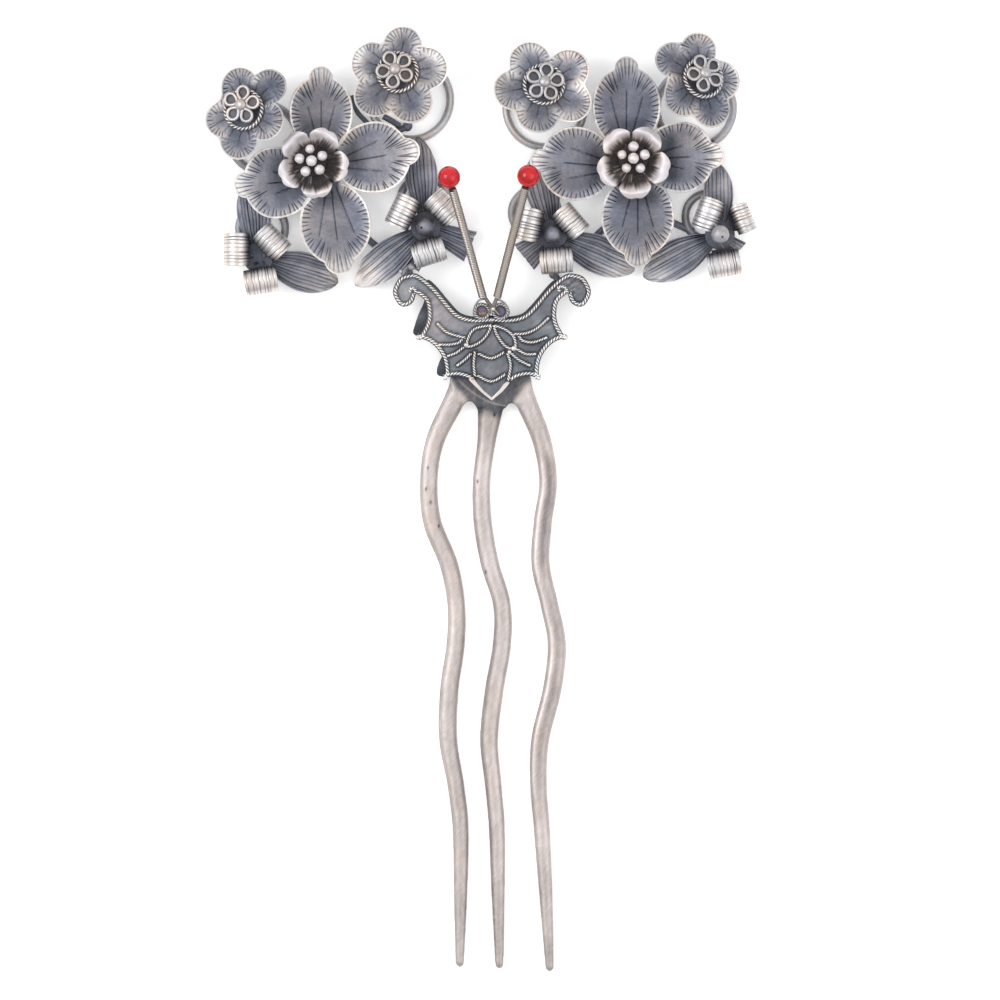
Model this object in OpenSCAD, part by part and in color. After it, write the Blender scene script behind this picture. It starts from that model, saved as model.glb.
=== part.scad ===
// Ornamental hairpin: a three-prong hair fork with a butterfly and two clusters of flowers.
// It lies on its back. X runs to the right, Y up from the prong tips, Z towards the viewer.

/* [Fork] */
// Thickness of the root plate behind the butterfly
root_t = 2.5; // [2.3:0.1:2.5]
// Thickness of a prong as a share of its width
prong_flatness = 0.7; // [0.5:0.05:0.7]

/* [Butterfly] */
// Thickness of each of the two wing plates
plate_t = 0.5; // [0.4:0.05:0.6]
// Height of the underside of the back plate
back_plate_z = 2.6; // [2.6:0.05:2.7]
// Height of the underside of the front plate
front_plate_z = 4.1; // [3.9:0.05:4.2]
// Width of the twisted wire along the border
border_w = 0.6; // [0.4:0.05:0.7]
// Width of the twisted wire of the veins
vein_w = 0.42; // [0.3:0.02:0.5]
// Radius of an eye ring, to the middle of its wire
eye_r = 1.15; // [1:0.05:1.2]

/* [Antennae] */
// Radius of the close-wound wire
coil_r = 0.7; // [0.5:0.05:0.75]
// Radius of a coral bead
bead_r = 1.8; // [1.5:0.1:2]
// Radius of the hole through a bead
bead_hole_r = 0.38; // [0.35:0.01:0.4]

/* [Wire frames] */
// Radius of the round wire
wire_r = 0.65; // [0.55:0.05:0.65]

/* [Flowers] */
// Wall of every petal
petal_t = 0.45; // [0.35:0.05:0.5]
// Height of the lowest point of a big flower's petals
big_z = 3.4; // [3.3:0.1:3.8]
// Radius of the dish of each big petal
big_dish_r = 26; // [22:1:32]
// Radius of the dish of a small flower
small_dish_r = 15; // [12:1:20]
// Radius of the bowl of a cup flower
cup_dish_r = 7; // [6.5:0.5:8]
// Height of the rosette above a small flower
rosette_lift = 1.7; // [1.5:0.1:2.2]

/* [Sprays] */
// Wall of the leaves and the ribbons
strip_t = 0.45; // [0.3:0.05:0.45]
// Width of a curled ribbon
ribbon_w = 5.4; // [4.5:0.1:5.6]
// Outer radius of a ribbon's roll
roll_r = 2.1; // [1.8:0.1:2.2]

/* [Hidden] */

gap = 0.06;          // clearance between neighbouring pieces
round_fn = 48;       // smoothness of round shapes
prong_sides = 14;    // corners of a prong's section
prong_lift = 0.05;   // the prongs lie this much above the root plate's back

// Colours
bare_silver = "#b9b0ab";
dark_silver = "#6a6c76";
plate_grey = "#565c60";
bright_silver = "#d8d3ce";
coral_red = "#d42030";

// The prongs: height up the fork, left, middle and right prong's x, their width,
// and how much wider the middle one is
PRONG_ROWS = [
    [19.0, -3.2, 1.4, 5.9, 3.4, 1.2],
    [15.8, -4.5, 1.4, 6.9, 3.4, 1.0],
    [9.2, -7.6, 0.65, 9.5, 3.0, 0],
    [2.6, -8.6, -0.15, 10.5, 2.85, 0],
    [-3.9, -8.0, 0.05, 9.65, 2.95, 0],
    [-10.5, -5.4, 1.2, 9.3, 2.95, 0],
    [-17.0, -4.2, 3.1, 10.7, 2.85, 0],
    [-23.4, -4.3, 3.1, 11.9, 2.95, 0],
    [-30.6, -5.3, 1.9, 11.15, 3.0, 0],
    [-38.5, -5.5, 1.05, 9.25, 2.9, 0],
    [-45.7, -4.3, 1.7, 8.95, 2.7, 0],
    [-52.9, -3.5, 2.3, 9.5, 2.6, 0],
    [-63.4, -3.5, 2.5, 10.15, 2.2, 0],
    [-75.0, -3.65, 2.7, 10.75, 1.4, 0],
];
MIDDLE = 2;        // the column of the middle prong
// Past the last row a prong's end is rounded: how much further, and the share of its width
TIP_ROUNDING = [[0.45, 0.86], [0.8, 0.4]];
PRONG_END = PRONG_ROWS[len(PRONG_ROWS) - 1];
prong_steps = 2;               // sections between two rows
tip_start_y = -50;             // below this the prongs differ in length
TIP_SHORTER = [0.7, 0.45, 0];  // how much shorter the left, middle and right prong is

// The root plate's outline, from the left crotch round the top to the right crotch
ROOT_OUTLINE = [
    [-2.1, 15.6], [-2.6, 15.4], [-3.1, 14.9], [-4.4, 16.0], [-5.3, 18.6], [-4.4, 23.0],
    [-1.6, 26.6], [1.4, 27.4], [4.4, 26.6], [7.0, 23.0], [7.9, 18.6], [7.0, 16.0], [5.6, 14.7],
    [5.1, 15.15], [4.5, 15.3], [4.0, 15.0], [3.7, 14.4], [3.2, 14.6], [1.4, 15.2], [0, 14.6],
    [-0.9, 14.4], [-1.2, 15.0], [-1.6, 15.45],
];

// One half of a wing's outline: four smooth stretches that meet in corners.
// Each point is the distance from the butterfly's middle line and the height.
wing_x = 1.5;      // the middle line
WING = [
    [[0, 29.0], [2.4, 28.8], [4.7, 29.2], [6.3, 30.4], [9.1, 33.7], [11.7, 35.8], [13.4, 35.9],
     [14.9, 35.2], [15.85, 33.0], [14.9, 31.0], [13.7, 30.7], [12.6, 31.4], [12.1, 32.8]],
    [[12.1, 32.8], [10.7, 31.6], [10.3, 30.0], [10.4, 28.4], [11.1, 26.8], [11.9, 25.7]],
    [[11.9, 25.7], [10.3, 25.2], [8.9, 24.1], [7.9, 22.5], [7.5, 20.7], [7.6, 19.2]],
    [[7.6, 19.2], [6.0, 19.6], [4.5, 19.4], [3.2, 18.7], [0, 15.6]],
];
// The back plate has no scrolls. It shows a little above the front plate's top edge, and in the
// notches on the left.
BACK_TOP = [[0, 29.3], [2.4, 29.1], [4.6, 29.5], [6.05, 30.65], [8.85, 33.95], [10.1, 35.0],
    [10.7, 34.6], [10.8, 33.4]];
BACK_BOTTOM = [[7.2, 19.4], [6.0, 19.9], [4.5, 19.7], [3.2, 19.0], [0, 16.0]];
BACK_RIGHT = [
    BACK_TOP,
    [[10.8, 33.4], [10.2, 31.6], [9.9, 30.0], [10.0, 28.4], [10.7, 26.8], [11.4, 25.8]],
    [[11.4, 25.8], [10.0, 25.5], [8.6, 24.5], [7.5, 22.6], [7.1, 20.8], [7.2, 19.4]],
    BACK_BOTTOM,
];
BACK_LEFT = [
    BACK_TOP,
    [[10.8, 33.4], [10.7, 32.2], [11.05, 31.0], [11.7, 29.6], [12.35, 27.7], [12.6, 26.5],
     [12.0, 25.95]],
    [[12.0, 25.95], [10.2, 25.4], [8.8, 24.3], [7.95, 23.1], [8.4, 21.9], [8.8, 20.6],
     [8.6, 19.7], [7.2, 19.4]],
    BACK_BOTTOM,
];
wing_steps = 4;                 // sides between two points of a stretch
eye_lobe_r = 1.45;              // round lobes of the plate behind the eye rings
eye_wire_r = 0.28;
EYES = [[-0.1, 29.9], [2.87, 29.9]];
post_r = 1.6;
border_h = 0.5;                 // how far the border wires stand above the front plate
vein_h = 0.4;                   // and the veins
solder = 0.1;                   // the wires sink this far into the plate
border_inset = 0.4;             // middle of the border wire from the plate's edge

// The veins, the two lens shapes, the body's sides and its two cross arcs
FILIGREE = [
    [[-7.14, 27.9], [-5.74, 26.6], [-4.0, 26.0], [-2.7, 25.7]],
    [[-6.8, 24.6], [-5.3, 24.6], [-3.8, 24.9], [-3.3, 25.5]],
    [[-5.5, 22.8], [-4.2, 23.3], [-3.0, 24.2]],
    [[-4.0, 21.3], [-2.8, 22.2], [-1.8, 23.2]],
    [[10.5, 28.8], [8.7, 27.2], [6.9, 26.4], [5.0, 26.3]],
    [[10.2, 25.7], [8.2, 25.0], [6.5, 25.2], [5.8, 26.0]],
    [[8.4, 23.1], [6.9, 23.1], [5.5, 23.9]],
    [[7.5, 21.3], [5.9, 22.1], [4.6, 23.2]],
    [[1.4, 27.7], [-1.1, 27.2], [-2.2, 25.9], [-2.6, 24.4]],
    [[1.4, 27.7], [0.8, 26.3], [-0.4, 25.0], [-1.9, 24.3], [-2.6, 24.4]],
    [[1.8, 27.7], [3.5, 27.1], [4.9, 26.0], [5.3, 24.6], [5.0, 23.9]],
    [[1.8, 27.7], [2.2, 26.4], [3.0, 25.1], [3.9, 24.2], [5.0, 23.9]],
    [[-1.2, 23.5], [-1.4, 21.5], [-1.2, 19.5]],
    [[4.0, 23.2], [4.5, 21.3], [4.1, 18.9]],
    [[-0.7, 23.2], [1.4, 22.4], [3.5, 23.4]],
    [[-0.8, 19.7], [1.4, 18.7], [3.7, 19.9]],
];

// The antennae: where each wound wire starts and the middle of its bead
KNOT = [1.7, 30.3, 6.2];
knot_r = 0.36;
ANTENNA_LEFT = [[0.06, 32.2, 6.3], [-5.3, 51.2, 12.0]];
ANTENNA_RIGHT = [[2.35, 32.2, 6.3], [7.3, 51.4, 12.0]];
foot_r = 0.24;     // the bare wire between the knot and the wound part
core_r = 0.3;      // the wire's end inside the bead

STRUT_SHARES = [0.9, 0.86, 0.82, 0.78];   // struts that meet differ a little in radius
post_wire_r = wire_r * 0.72;
// The wire frames: rings as x, y, radius and the angle where an open one starts,
// struts as the two ends, and posts as x, y and height of the top
RINGS_LEFT = [[-11.6, 63.9, 6.4], [-35.0, 57.7, 5.4], [-35.3, 43.3, 3.7], [-9.3, 47.6, 3.9]];
RINGS_RIGHT = [[10.0, 62.5, 6.2], [36.2, 45.2, 3.7], [8.4, 45.8, 3.7]];
open_ring = [34.0, 62.5, 6.1];
OPEN_RING_TURN = [-59, 330];
STRUTS_LEFT = [
    [[-26.5, 53.7], [-12.0, 59.6]], [[-26.5, 53.7], [-30.3, 55.0]], [[-26.5, 53.7], [-32.75, 45.95]],
    [[-26.5, 53.7], [-24.6, 46.8]], [[-24.6, 46.8], [-12.0, 36.2]], [[-9.5, 43.7], [-12.0, 36.2]],
    [[-12.0, 36.2], [-11.6, 33.4]], [[-37.85, 62.1], [-35.0, 63.1]], [[-13.5, 68.05], [-14.3, 69.7]],
];
STRUTS_RIGHT = [
    [[23.9, 53.8], [14.85, 58.65]], [[23.9, 53.8], [29.45, 58.45]], [[23.9, 53.8], [23.9, 47.2]],
    [[23.9, 47.2], [11.4, 36.0]], [[23.9, 47.2], [33.3, 42.9]], [[11.4, 36.0], [12.8, 34.0]],
    [[9.6, 42.4], [11.4, 36.0]], [[9.75, 66.1], [9.5, 68.7]], [[34.95, 67.05], [35.2, 68.5]],
];

// The big petals: x and y of the tip, direction, length, width, how far the widest place is
// from the tip, and the radius of the round knob at the tip
PETALS_LEFT = [
    [-25.8, 69.2, 90, 15.5, 10.2, 7.2, 1.9],
    [-10.0, 55.8, 9.6, 16.5, 11.4, 7.2, 2.2],
    [-22.5, 35.8, -82.9, 18.0, 11.4, 8.1, 2.5],
    [-39.8, 49.9, 185.3, 14.0, 11.5, 6.5, 2.05],
];
PETALS_RIGHT = [
    [23.05, 70.7, 90, 17.0, 11.0, 7.9, 1.85],
    [7.55, 54.2, 175, 16.5, 11.8, 7.05, 1.85],
    [38.67, 54.9, 2.6, 14.5, 11.3, 6.7, 2.15],
    [24.85, 36.9, -90, 16.8, 11.7, 8.1, 2.15],
];
// Each cluster's middle: the big flower, the cup flower, the stamens, and the angle of the first
// petal of the cup and of the first stamen
BIG_LEFT = [-26.5, 53.7];
BIG_RIGHT = [23.9, 53.8];
CUP_LEFT = [[-27.1, 53.7], 5.9, 63];
CUP_RIGHT = [[24.1, 53.8], 6.1, 58];
STAMENS_LEFT = [[-27.3, 53.9], 97];
STAMENS_RIGHT = [[24.1, 54.3], 90];
stamen_base = 0.5;            // the stamens' base reaches this far past their ring
stamen_base_t = 0.5;          // and is this thick
stamen_ball_r = 0.85;         // the five outer balls
stamen_stalk_r = 0.4;
middle_ball_r = 0.9;          // the middle ball, which stands a little higher
middle_stalk_r = 0.5;
middle_lift = 0.5;
stalk_sink = 0.1;             // the stalks start this far inside the base
shoulder = 1.6;               // a petal's oval part starts at this distance from its tip
oval_back = 6.8;              // and ends at this distance behind its widest place
neck = 1.6;                   // half the width of a petal's foot
dish_low = 5;                 // a big petal is lowest at this distance from its foot
hub_r = 3.4;
cup_z = big_z + 1.65;         // lowest point of a cup flower
stamen_ring_r = 1.9;
stamen_z = cup_z + 3.1;       // middle of the stamens' balls

// The five round lobes of each small flower: direction and distance of the lobe's middle, and radius.
// The sixth circle is the broad middle, which fills the notches.
LOBES_LEFT_OUTER = [[101, 4.05, 3.0], [43, 5.5, 2.8], [-30, 3.5, 3.35], [259, 5.3, 2.95],
    [205, 3.85, 3.0], [155, 0.5, 4.1]];
LOBES_LEFT_INNER = [[80, 4.45, 3.2], [8, 4.75, 3.5], [-66, 5.3, 3.5], [226, 5.4, 3.4],
    [161, 4.45, 3.5], [0, 0, 4.2]];
LOBES_RIGHT_INNER = [[122, 4.25, 3.45], [31, 4.8, 3.35], [-32, 5.4, 3.25], [258, 4.3, 3.7],
    [190, 5.05, 3.2], [0, 0, 4.2]];
LOBES_RIGHT_OUTER = [[97, 4.6, 2.95], [-8, 2.8, 3.4], [-73, 5.3, 3.0], [227, 4.25, 3.25],
    [148, 5.7, 2.8], [178, 1.3, 4.3]];
// The small flowers: x, y, height, direction of the lean, lean,
// x and y of the rosette, the angle of the rosette's first loop, and the lobes
SMALL_LEFT_OUTER = [-37.85, 62.1, 5.2, 170, 20, -38.45, 62.9, 10, LOBES_LEFT_OUTER];
SMALL_LEFT_INNER = [-13.5, 68.05, 4.4, 120, 8, -13.95, 68.55, 44, LOBES_LEFT_INNER];
SMALL_RIGHT_INNER = [9.75, 66.1, 4.4, 60, 8, 9.95, 66.55, 10, LOBES_RIGHT_INNER];
SMALL_RIGHT_OUTER = [34.95, 67.05, 5.4, 30, 22, 35.5, 67.9, 42, LOBES_RIGHT_OUTER];
notch_depth = 9;              // higher makes the notches between the lobes deeper
ring_r = 3.1;
ring_wire_r = 0.36;
loop_ring_r = 2.0;
loop_r = 1.15;
loop_wire = 0.42;
rosette_t = 0.6;
rosette_ball_r = 0.95;
rosette_middle_r = 1.2;       // the disc under the ball
stem_r = 0.5;                 // the slanting stem under a rosette
stem_clear = 0.28;            // its middle starts this far above the petals, so that its edge clears

// The sprays: the middle; the ball's radius and height above the ribbons' underside, if there is
// a ball; the leaves as direction, length and width, and a 1 if the end is broad and blunt; and
// the ribbons as x and y of the middle of the roll, direction of its axis, length of the tail, and
// shares of ribbon_w and roll_r
SPRAY_LEFT_OUTER = [[-35.9, 38.5], [0, 0], [[95, 13, 5.6], [-17, 13.4, 6.4]],
    [[-33.7, 41.0, -45, 1.8, 1, 1], [-39.3, 39.8, 90, 2.1, 1, 1], [-35.4, 34.8, 10, 2.2, 1, 1]]];
SPRAY_LEFT_INNER = [[-9.1, 43.5], [1.5, 1.5], [[95, 14.5, 5.3], [-140, 14.7, 5.8], [-24, 8, 5.3, 1]],
    [[-12.75, 45.85, 64, 1.6, 1, 1], [-6.3, 46.5, 135, 1.5, 1, 1], [-8.6, 39.4, 17, 2.3, 1, 1]]];
SPRAY_RIGHT_INNER = [[11.2, 42.3], [1.45, 1.5], [[103, 13, 5.5], [-24, 14.4, 6.2], [-141, 6.05, 5.3, 1]],
    [[7.4, 43.8, 78, 2.2, 1, 1], [14.05, 44.3, -49, 1.8, 1, 0.95], [11.8, 38.05, 5, 2.2, 1, 1]]];
SPRAY_RIGHT_OUTER = [[38.0, 42.2], [1.45, 4.3], [[92, 11.5, 4.8], [-151, 14, 6.2], [-41, 4.2, 3.6, 1]],
    [[36.1, 45.4, 70, 1.4, 1, 1], [41.6, 44.8, -68, 2.1, 0.9, 0.76], [38.6, 37.5, 10, 2.5, 1, 1]]];
spray_z = 2 * wire_r + 0.12;     // underside of the leaves, just above the wire
leaf_arch_r = 38;                // each leaf is gently arched
leaf_lift = 0.7;                 // so much that its middle rises by this
leaf_foot = 1.1;                 // half the width of a leaf's foot
spray_hub_r = 2.4;               // the disc that holds the leaves, the ribbons and the ball
spray_hub_h = 1.15;
ribbon_z = spray_z + spray_hub_h + gap;   // underside of the ribbons
ball_stalk_r = 0.6;
roll_turn = 285;                 // how far a ribbon is rolled up, in degrees

// Point t along a smooth curve through the points or rows of a table
function row_at(p, i) = p[max(0, min(len(p) - 1, i))];
function on_curve(p, t) =
    let (i = min(floor(t), len(p) - 2), u = t - i,
         a = row_at(p, i - 1), b = p[i], c = p[i + 1], d = row_at(p, i + 2))
    b + 0.5 * u * (c - a + u * (2 * a - 5 * b + 4 * c - d + u * (3 * (b - c) + d - a)));
function smooth(p, steps) = [for (k = [0 : (len(p) - 1) * steps]) on_curve(p, k / steps)];

// Unit vector to the left of a path at its point i
function side_of(p, i) =
    let (d = row_at(p, i + 1) - row_at(p, i - 1)) [-d[1], d[0]] / norm(d);
// A path moved to its left by a distance
function moved(p, by) = [for (i = [0 : len(p) - 1]) p[i] + by * side_of(p, i)];
// Outline of a strip that follows a path
function strip(p, w) =
    let (a = moved(p, w / 2), b = moved(p, -w / 2))
    concat(a, [for (i = [len(b) - 1 : -1 : 0]) b[i]]);
// A list of points mirrored from the butterfly's right half to its left half
function to_left(p) = [for (q = p) [wing_x - q[0], q[1]]];
function to_right(p) = [for (q = p) [wing_x + q[0], q[1]]];

// One prong: column 1, 2 or 3 of the table, swept as flattened rings
function prong_point(row, column) =
    let (below = max(0, tip_start_y - row[0]) / (tip_start_y - PRONG_END[0]))
    [row[column], row[0] + TIP_SHORTER[column - 1] * below];

module prong(column) {
    rows = concat(smooth(PRONG_ROWS, prong_steps), [for (t = TIP_ROUNDING)
        [PRONG_END[0] - t[0], PRONG_END[1], PRONG_END[2], PRONG_END[3], PRONG_END[4] * t[1], 0]]);
    path = [for (r = rows) prong_point(r, column)];
    n = prong_sides;
    last = len(path) - 1;
    points = [for (i = [0 : last], k = [0 : n - 1])
        let (w = rows[i][4] + (column == MIDDLE ? rows[i][5] : 0),
             half_t = rows[i][4] * prong_flatness / 2, a = (k + 0.5) * 360 / n,
             q = path[i] + side_of(path, i) * cos(a) * w / 2)
        [q[0], q[1], prong_lift + half_t * (1 + sin(a) / cos(180 / n))]];
    sides = [for (i = [0 : last - 1], k = [0 : n - 1], half = [0, 1])
        let (a = i * n + k, b = i * n + (k + 1) % n)
        half == 0 ? [a, a + n, b] : [b, a + n, b + n]];
    polyhedron(points, concat(sides,
        [[for (k = [0 : n - 1]) k], [for (k = [n - 1 : -1 : 0]) last * n + k]]));
}

module fork() {
    color(bare_silver) union() {
        for (column = [1 : 3]) prong(column);
        linear_extrude(root_t) polygon(ROOT_OUTLINE);
    }
}

// Half a wing plate's outline without its last point, and the outline of both halves
function half_outline(wing) =
    [for (s = wing) each let (q = smooth(s, wing_steps)) [for (i = [0 : len(q) - 2]) q[i]]];
function wing_outline(right, left) =
    let (a = half_outline(right), b = half_outline(left), last = right[len(right) - 1],
         tip = last[len(last) - 1])
    concat(to_right(concat(a, [tip])), to_left([for (i = [len(b) - 1 : -1 : 1]) b[i]]));

module butterfly_back_plate() {
    color(plate_grey) translate([0, 0, back_plate_z]) linear_extrude(plate_t)
        polygon(wing_outline(BACK_RIGHT, BACK_LEFT));
}

// A soldered wire on the front plate, along a path
module plate_wire(path, width, height) {
    translate([0, 0, front_plate_z + plate_t - solder]) linear_extrude(height + solder)
        polygon(strip(path, width));
}

// The front plate with its border wires and veins, one soldered piece
module butterfly_plate() {
    color(plate_grey) union() {
        translate([0, 0, front_plate_z]) {
            linear_extrude(plate_t) polygon(wing_outline(WING, WING));
            for (e = EYES) translate(e) cylinder(r = eye_lobe_r, h = plate_t, $fn = round_fn);
        }
        for (s = WING) {
            edge = moved(smooth(s, wing_steps), -border_inset);
            plate_wire(to_right(edge), border_w, border_h);
            plate_wire(to_left(edge), border_w, border_h);
        }
        for (f = FILIGREE) plate_wire(smooth(f, wing_steps), vein_w, vein_h);
    }
}

module butterfly_post() {
    low = back_plate_z + plate_t + gap;
    color(dark_silver) translate([wing_x, 24, low])
        cylinder(r = post_r, h = front_plate_z - gap - low, $fn = round_fn);
}

module eye_ring(place) {
    over_wires = front_plate_z + plate_t + border_h + gap;
    color(bright_silver) translate([place[0], place[1], over_wires + eye_wire_r])
        rotate_extrude($fn = round_fn) translate([eye_r, 0]) circle(eye_wire_r, $fn = round_fn);
}

module antenna_knot() {
    color(dark_silver) translate(KNOT) sphere(knot_r, $fn = round_fn);
}

// A round rod between two points
module rod(from, to, r) {
    d = to - from;
    translate(from) rotate([0, acos(d[2] / norm(d)), atan2(d[1], d[0])])
        cylinder(r = r, h = norm(d), $fn = round_fn);
}

// The wound wire from its foot to just under the bead, with its core inside the bead
module antenna(ends) {
    way = (ends[1] - ends[0]) / norm(ends[1] - ends[0]);
    foot = (ends[0] - KNOT) / norm(ends[0] - KNOT);
    wound_end = ends[1] - way * (bead_r + gap);
    color(bare_silver) union() {
        rod(KNOT + foot * (knot_r + gap), ends[0] + way * coil_r, foot_r);
        rod(ends[0], wound_end, coil_r);
        rod(wound_end - way * coil_r, ends[1], core_r);
    }
}

module bead(ends) {
    way = (ends[1] - ends[0]) / norm(ends[1] - ends[0]);
    color(coral_red) difference() {
        translate(ends[1]) sphere(bead_r, $fn = round_fn);
        rod(ends[1] - way * 2 * bead_r, ends[1] + way * 2 * bead_r, bead_hole_r);
    }
}

// A ring of round wire lying on the floor, whole or open
module wire_ring(x, y, r, turn = 360) {
    translate([x, y, wire_r]) rotate_extrude(angle = turn, $fn = round_fn)
        translate([r, 0]) circle(wire_r, $fn = round_fn);
}

module wire_joint(x, y, top = 0) {
    translate([x, y, wire_r]) sphere(wire_r, $fn = round_fn);
    if (top > 0) translate([x, y, wire_r]) cylinder(r = post_wire_r, h = top - wire_r, $fn = round_fn);
}

// Rings, struts between them, and posts up to the flowers and the butterfly
module wire_frame(rings, struts, posts) {
    for (q = rings) wire_ring(q[0], q[1], q[2]);
    for (i = [0 : len(struts) - 1]) {
        a = struts[i][0];
        b = struts[i][1];
        rod([a[0], a[1], wire_r], [b[0], b[1], wire_r], wire_r * STRUT_SHARES[i % 4]);
    }
    for (p = posts) wire_joint(p[0], p[1], p[2]);
}

// Height of the top of the post under a small flower
function post_top(f) = f[2] - petal_t / 2 / cos(f[4]) - post_wire_r * tan(f[4]) - gap;

module wire_frame_left() {
    color(dark_silver) union() {
        wire_frame(RINGS_LEFT, STRUTS_LEFT, [
            [BIG_LEFT[0], BIG_LEFT[1], big_z - petal_t - gap],
            [-11.6, 33.4, front_plate_z - gap],
            [-12.0, 36.2, 0]]);
        for (f = [SMALL_LEFT_OUTER, SMALL_LEFT_INNER]) wire_joint(f[0], f[1], post_top(f));
    }
}

module wire_frame_right() {
    color(dark_silver) union() {
        wire_frame(RINGS_RIGHT, STRUTS_RIGHT, [
            [BIG_RIGHT[0], BIG_RIGHT[1], big_z - petal_t - gap],
            [12.8, 34.0, front_plate_z - gap], [23.9, 47.2, 0], [11.4, 36.0, 0]]);
        translate([open_ring[0], open_ring[1], 0]) rotate(OPEN_RING_TURN[0])
            wire_ring(0, 0, open_ring[2], OPEN_RING_TURN[1]);
        for (f = [SMALL_RIGHT_INNER, SMALL_RIGHT_OUTER]) wire_joint(f[0], f[1], post_top(f));
    }
}

// Half the width of a big petal at a distance from its tip
function petal_half(p, d) =
    let (front = p[5] - shoulder, x = d < p[5] ? (p[5] - d) / front : (d - p[5]) / oval_back)
    max(d < 2 * p[6] ? sqrt(max(0, d * (2 * p[6] - d))) : 0,
        x < 1 ? p[4] / 2 * sqrt(1 - x * x) : 0,
        d > p[5] ? neck : 0);

// A petal's outline along X with its foot at the origin
module petal_shape(p) {
    steps = 30;
    places = [for (k = [0 : steps]) p[3] * (1 - cos(90 * k / steps))];
    polygon(concat([for (d = places) [p[3] - d, petal_half(p, d)]],
        [for (k = [steps : -1 : 1]) [p[3] - places[k], -petal_half(p, places[k])]]));
}

// A wall that follows the lower part of a ball whose lowest point is at the origin
module dish(r, t) {
    translate([0, 0, r]) difference() {
        sphere(r + t / 2, $fn = round_fn);
        sphere(r - t / 2, $fn = round_fn);
    }
}

module big_flower(place, petals) {
    color(dark_silver) translate([place[0], place[1], big_z]) union() {
        for (p = petals)
            translate([p[0] - place[0] - p[3] * cos(p[2]), p[1] - place[1] - p[3] * sin(p[2]), 0])
                rotate(p[2]) intersection() {
                    translate([0, 0, -1]) linear_extrude(8) petal_shape(p);
                    translate([dish_low, 0, 0]) dish(big_dish_r, petal_t);
                }
        translate([0, 0, -petal_t])
            cylinder(r = hub_r, h = cup_z - big_z + petal_t / 2 - gap, $fn = round_fn);
    }
}

// A round flower of five lobes in a shallow dish, cut to radius r
module five_petals(r, lobe_r, dish_r, first) {
    intersection() {
        translate([0, 0, -1]) linear_extrude(dish_r) union() {
            circle(r - lobe_r, $fn = round_fn);
            for (k = [0 : 4]) rotate(first + 72 * k) translate([r - lobe_r, 0])
                circle(lobe_r, $fn = round_fn);
        }
        dish(dish_r, petal_t);
    }
}

module cup_flower(cup) {
    color(bright_silver) translate([cup[0][0], cup[0][1], cup_z])
        five_petals(cup[1], cup[1] * 0.44, cup_dish_r, cup[2]);
}

// Five balls round a middle one, on short stalks from a small base
module stamens(bunch, cup) {
    base_r = stamen_ring_r + stamen_base;
    reach = base_r + norm(bunch[0] - cup[0]);
    low = cup_z + cup_dish_r - sqrt(pow(cup_dish_r - petal_t / 2, 2) - pow(reach, 2)) + gap;
    color(bright_silver) translate([bunch[0][0], bunch[0][1], 0]) union() {
        translate([0, 0, low]) cylinder(r = base_r, h = stamen_base_t, $fn = round_fn);
        translate([0, 0, low])
            cylinder(r = middle_stalk_r, h = stamen_z + middle_lift - low, $fn = round_fn);
        translate([0, 0, stamen_z + middle_lift]) sphere(middle_ball_r, $fn = round_fn);
        for (k = [0 : 4]) rotate(bunch[1] + 72 * k) translate([stamen_ring_r, 0, 0]) {
            translate([0, 0, low + stalk_sink])
                cylinder(r = stamen_stalk_r, h = stamen_z - low - stalk_sink, $fn = round_fn);
            translate([0, 0, stamen_z]) sphere(stamen_ball_r, $fn = round_fn);
        }
    }
}

// Puts its children on a small flower's place, leaning as the flower does
module on_flower(f) {
    translate([f[0], f[1], f[2]]) rotate(f[3]) rotate([0, f[4], 0]) rotate(-f[3]) children();
}

// How far a circle's edge is from the flower's middle in a direction, and how far the flower's edge
// is: the furthest of its circles, with the notches between them a little filled
function lobe_edge(q, a) =
    let (side = q[1] * sin(a - q[0]))
    abs(side) < q[2] ? q[1] * cos(a - q[0]) + sqrt(q[2] * q[2] - side * side) : 0;
function flower_edge(lobes, a) =
    pow([for (q = lobes) pow(lobe_edge(q, a), notch_depth)] * [for (q = lobes) 1], 1 / notch_depth);

// A small flower's outline is cut straight down through its leaning dish
module small_flower(f) {
    color(dark_silver) intersection() {
        translate([f[0], f[1], 0]) linear_extrude(f[2] + 8)
            polygon([for (a = [0 : 4 : 356]) flower_edge(f[8], a) * [cos(a), sin(a)]]);
        on_flower(f) dish(small_dish_r, petal_t);
    }
}

module twisted_ring(f) {
    lift = small_dish_r - sqrt(pow(small_dish_r, 2) - pow(ring_r, 2)) + petal_t / 2 + gap;
    color(bright_silver) on_flower(f) translate([0, 0, lift + ring_wire_r])
        rotate_extrude($fn = round_fn) translate([ring_r, 0]) circle(ring_wire_r, $fn = round_fn);
}

// Where the rosette sits in its flower's leaning plane, so that it comes out at its x and y
function rosette_place(f) =
    let (lean_way = [cos(f[3]), sin(f[3])], seen = [f[5] - f[0], f[6] - f[1]],
         along = seen * lean_way)
    seen + lean_way * ((along - rosette_lift * sin(f[4])) / cos(f[4]) - along);

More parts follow.
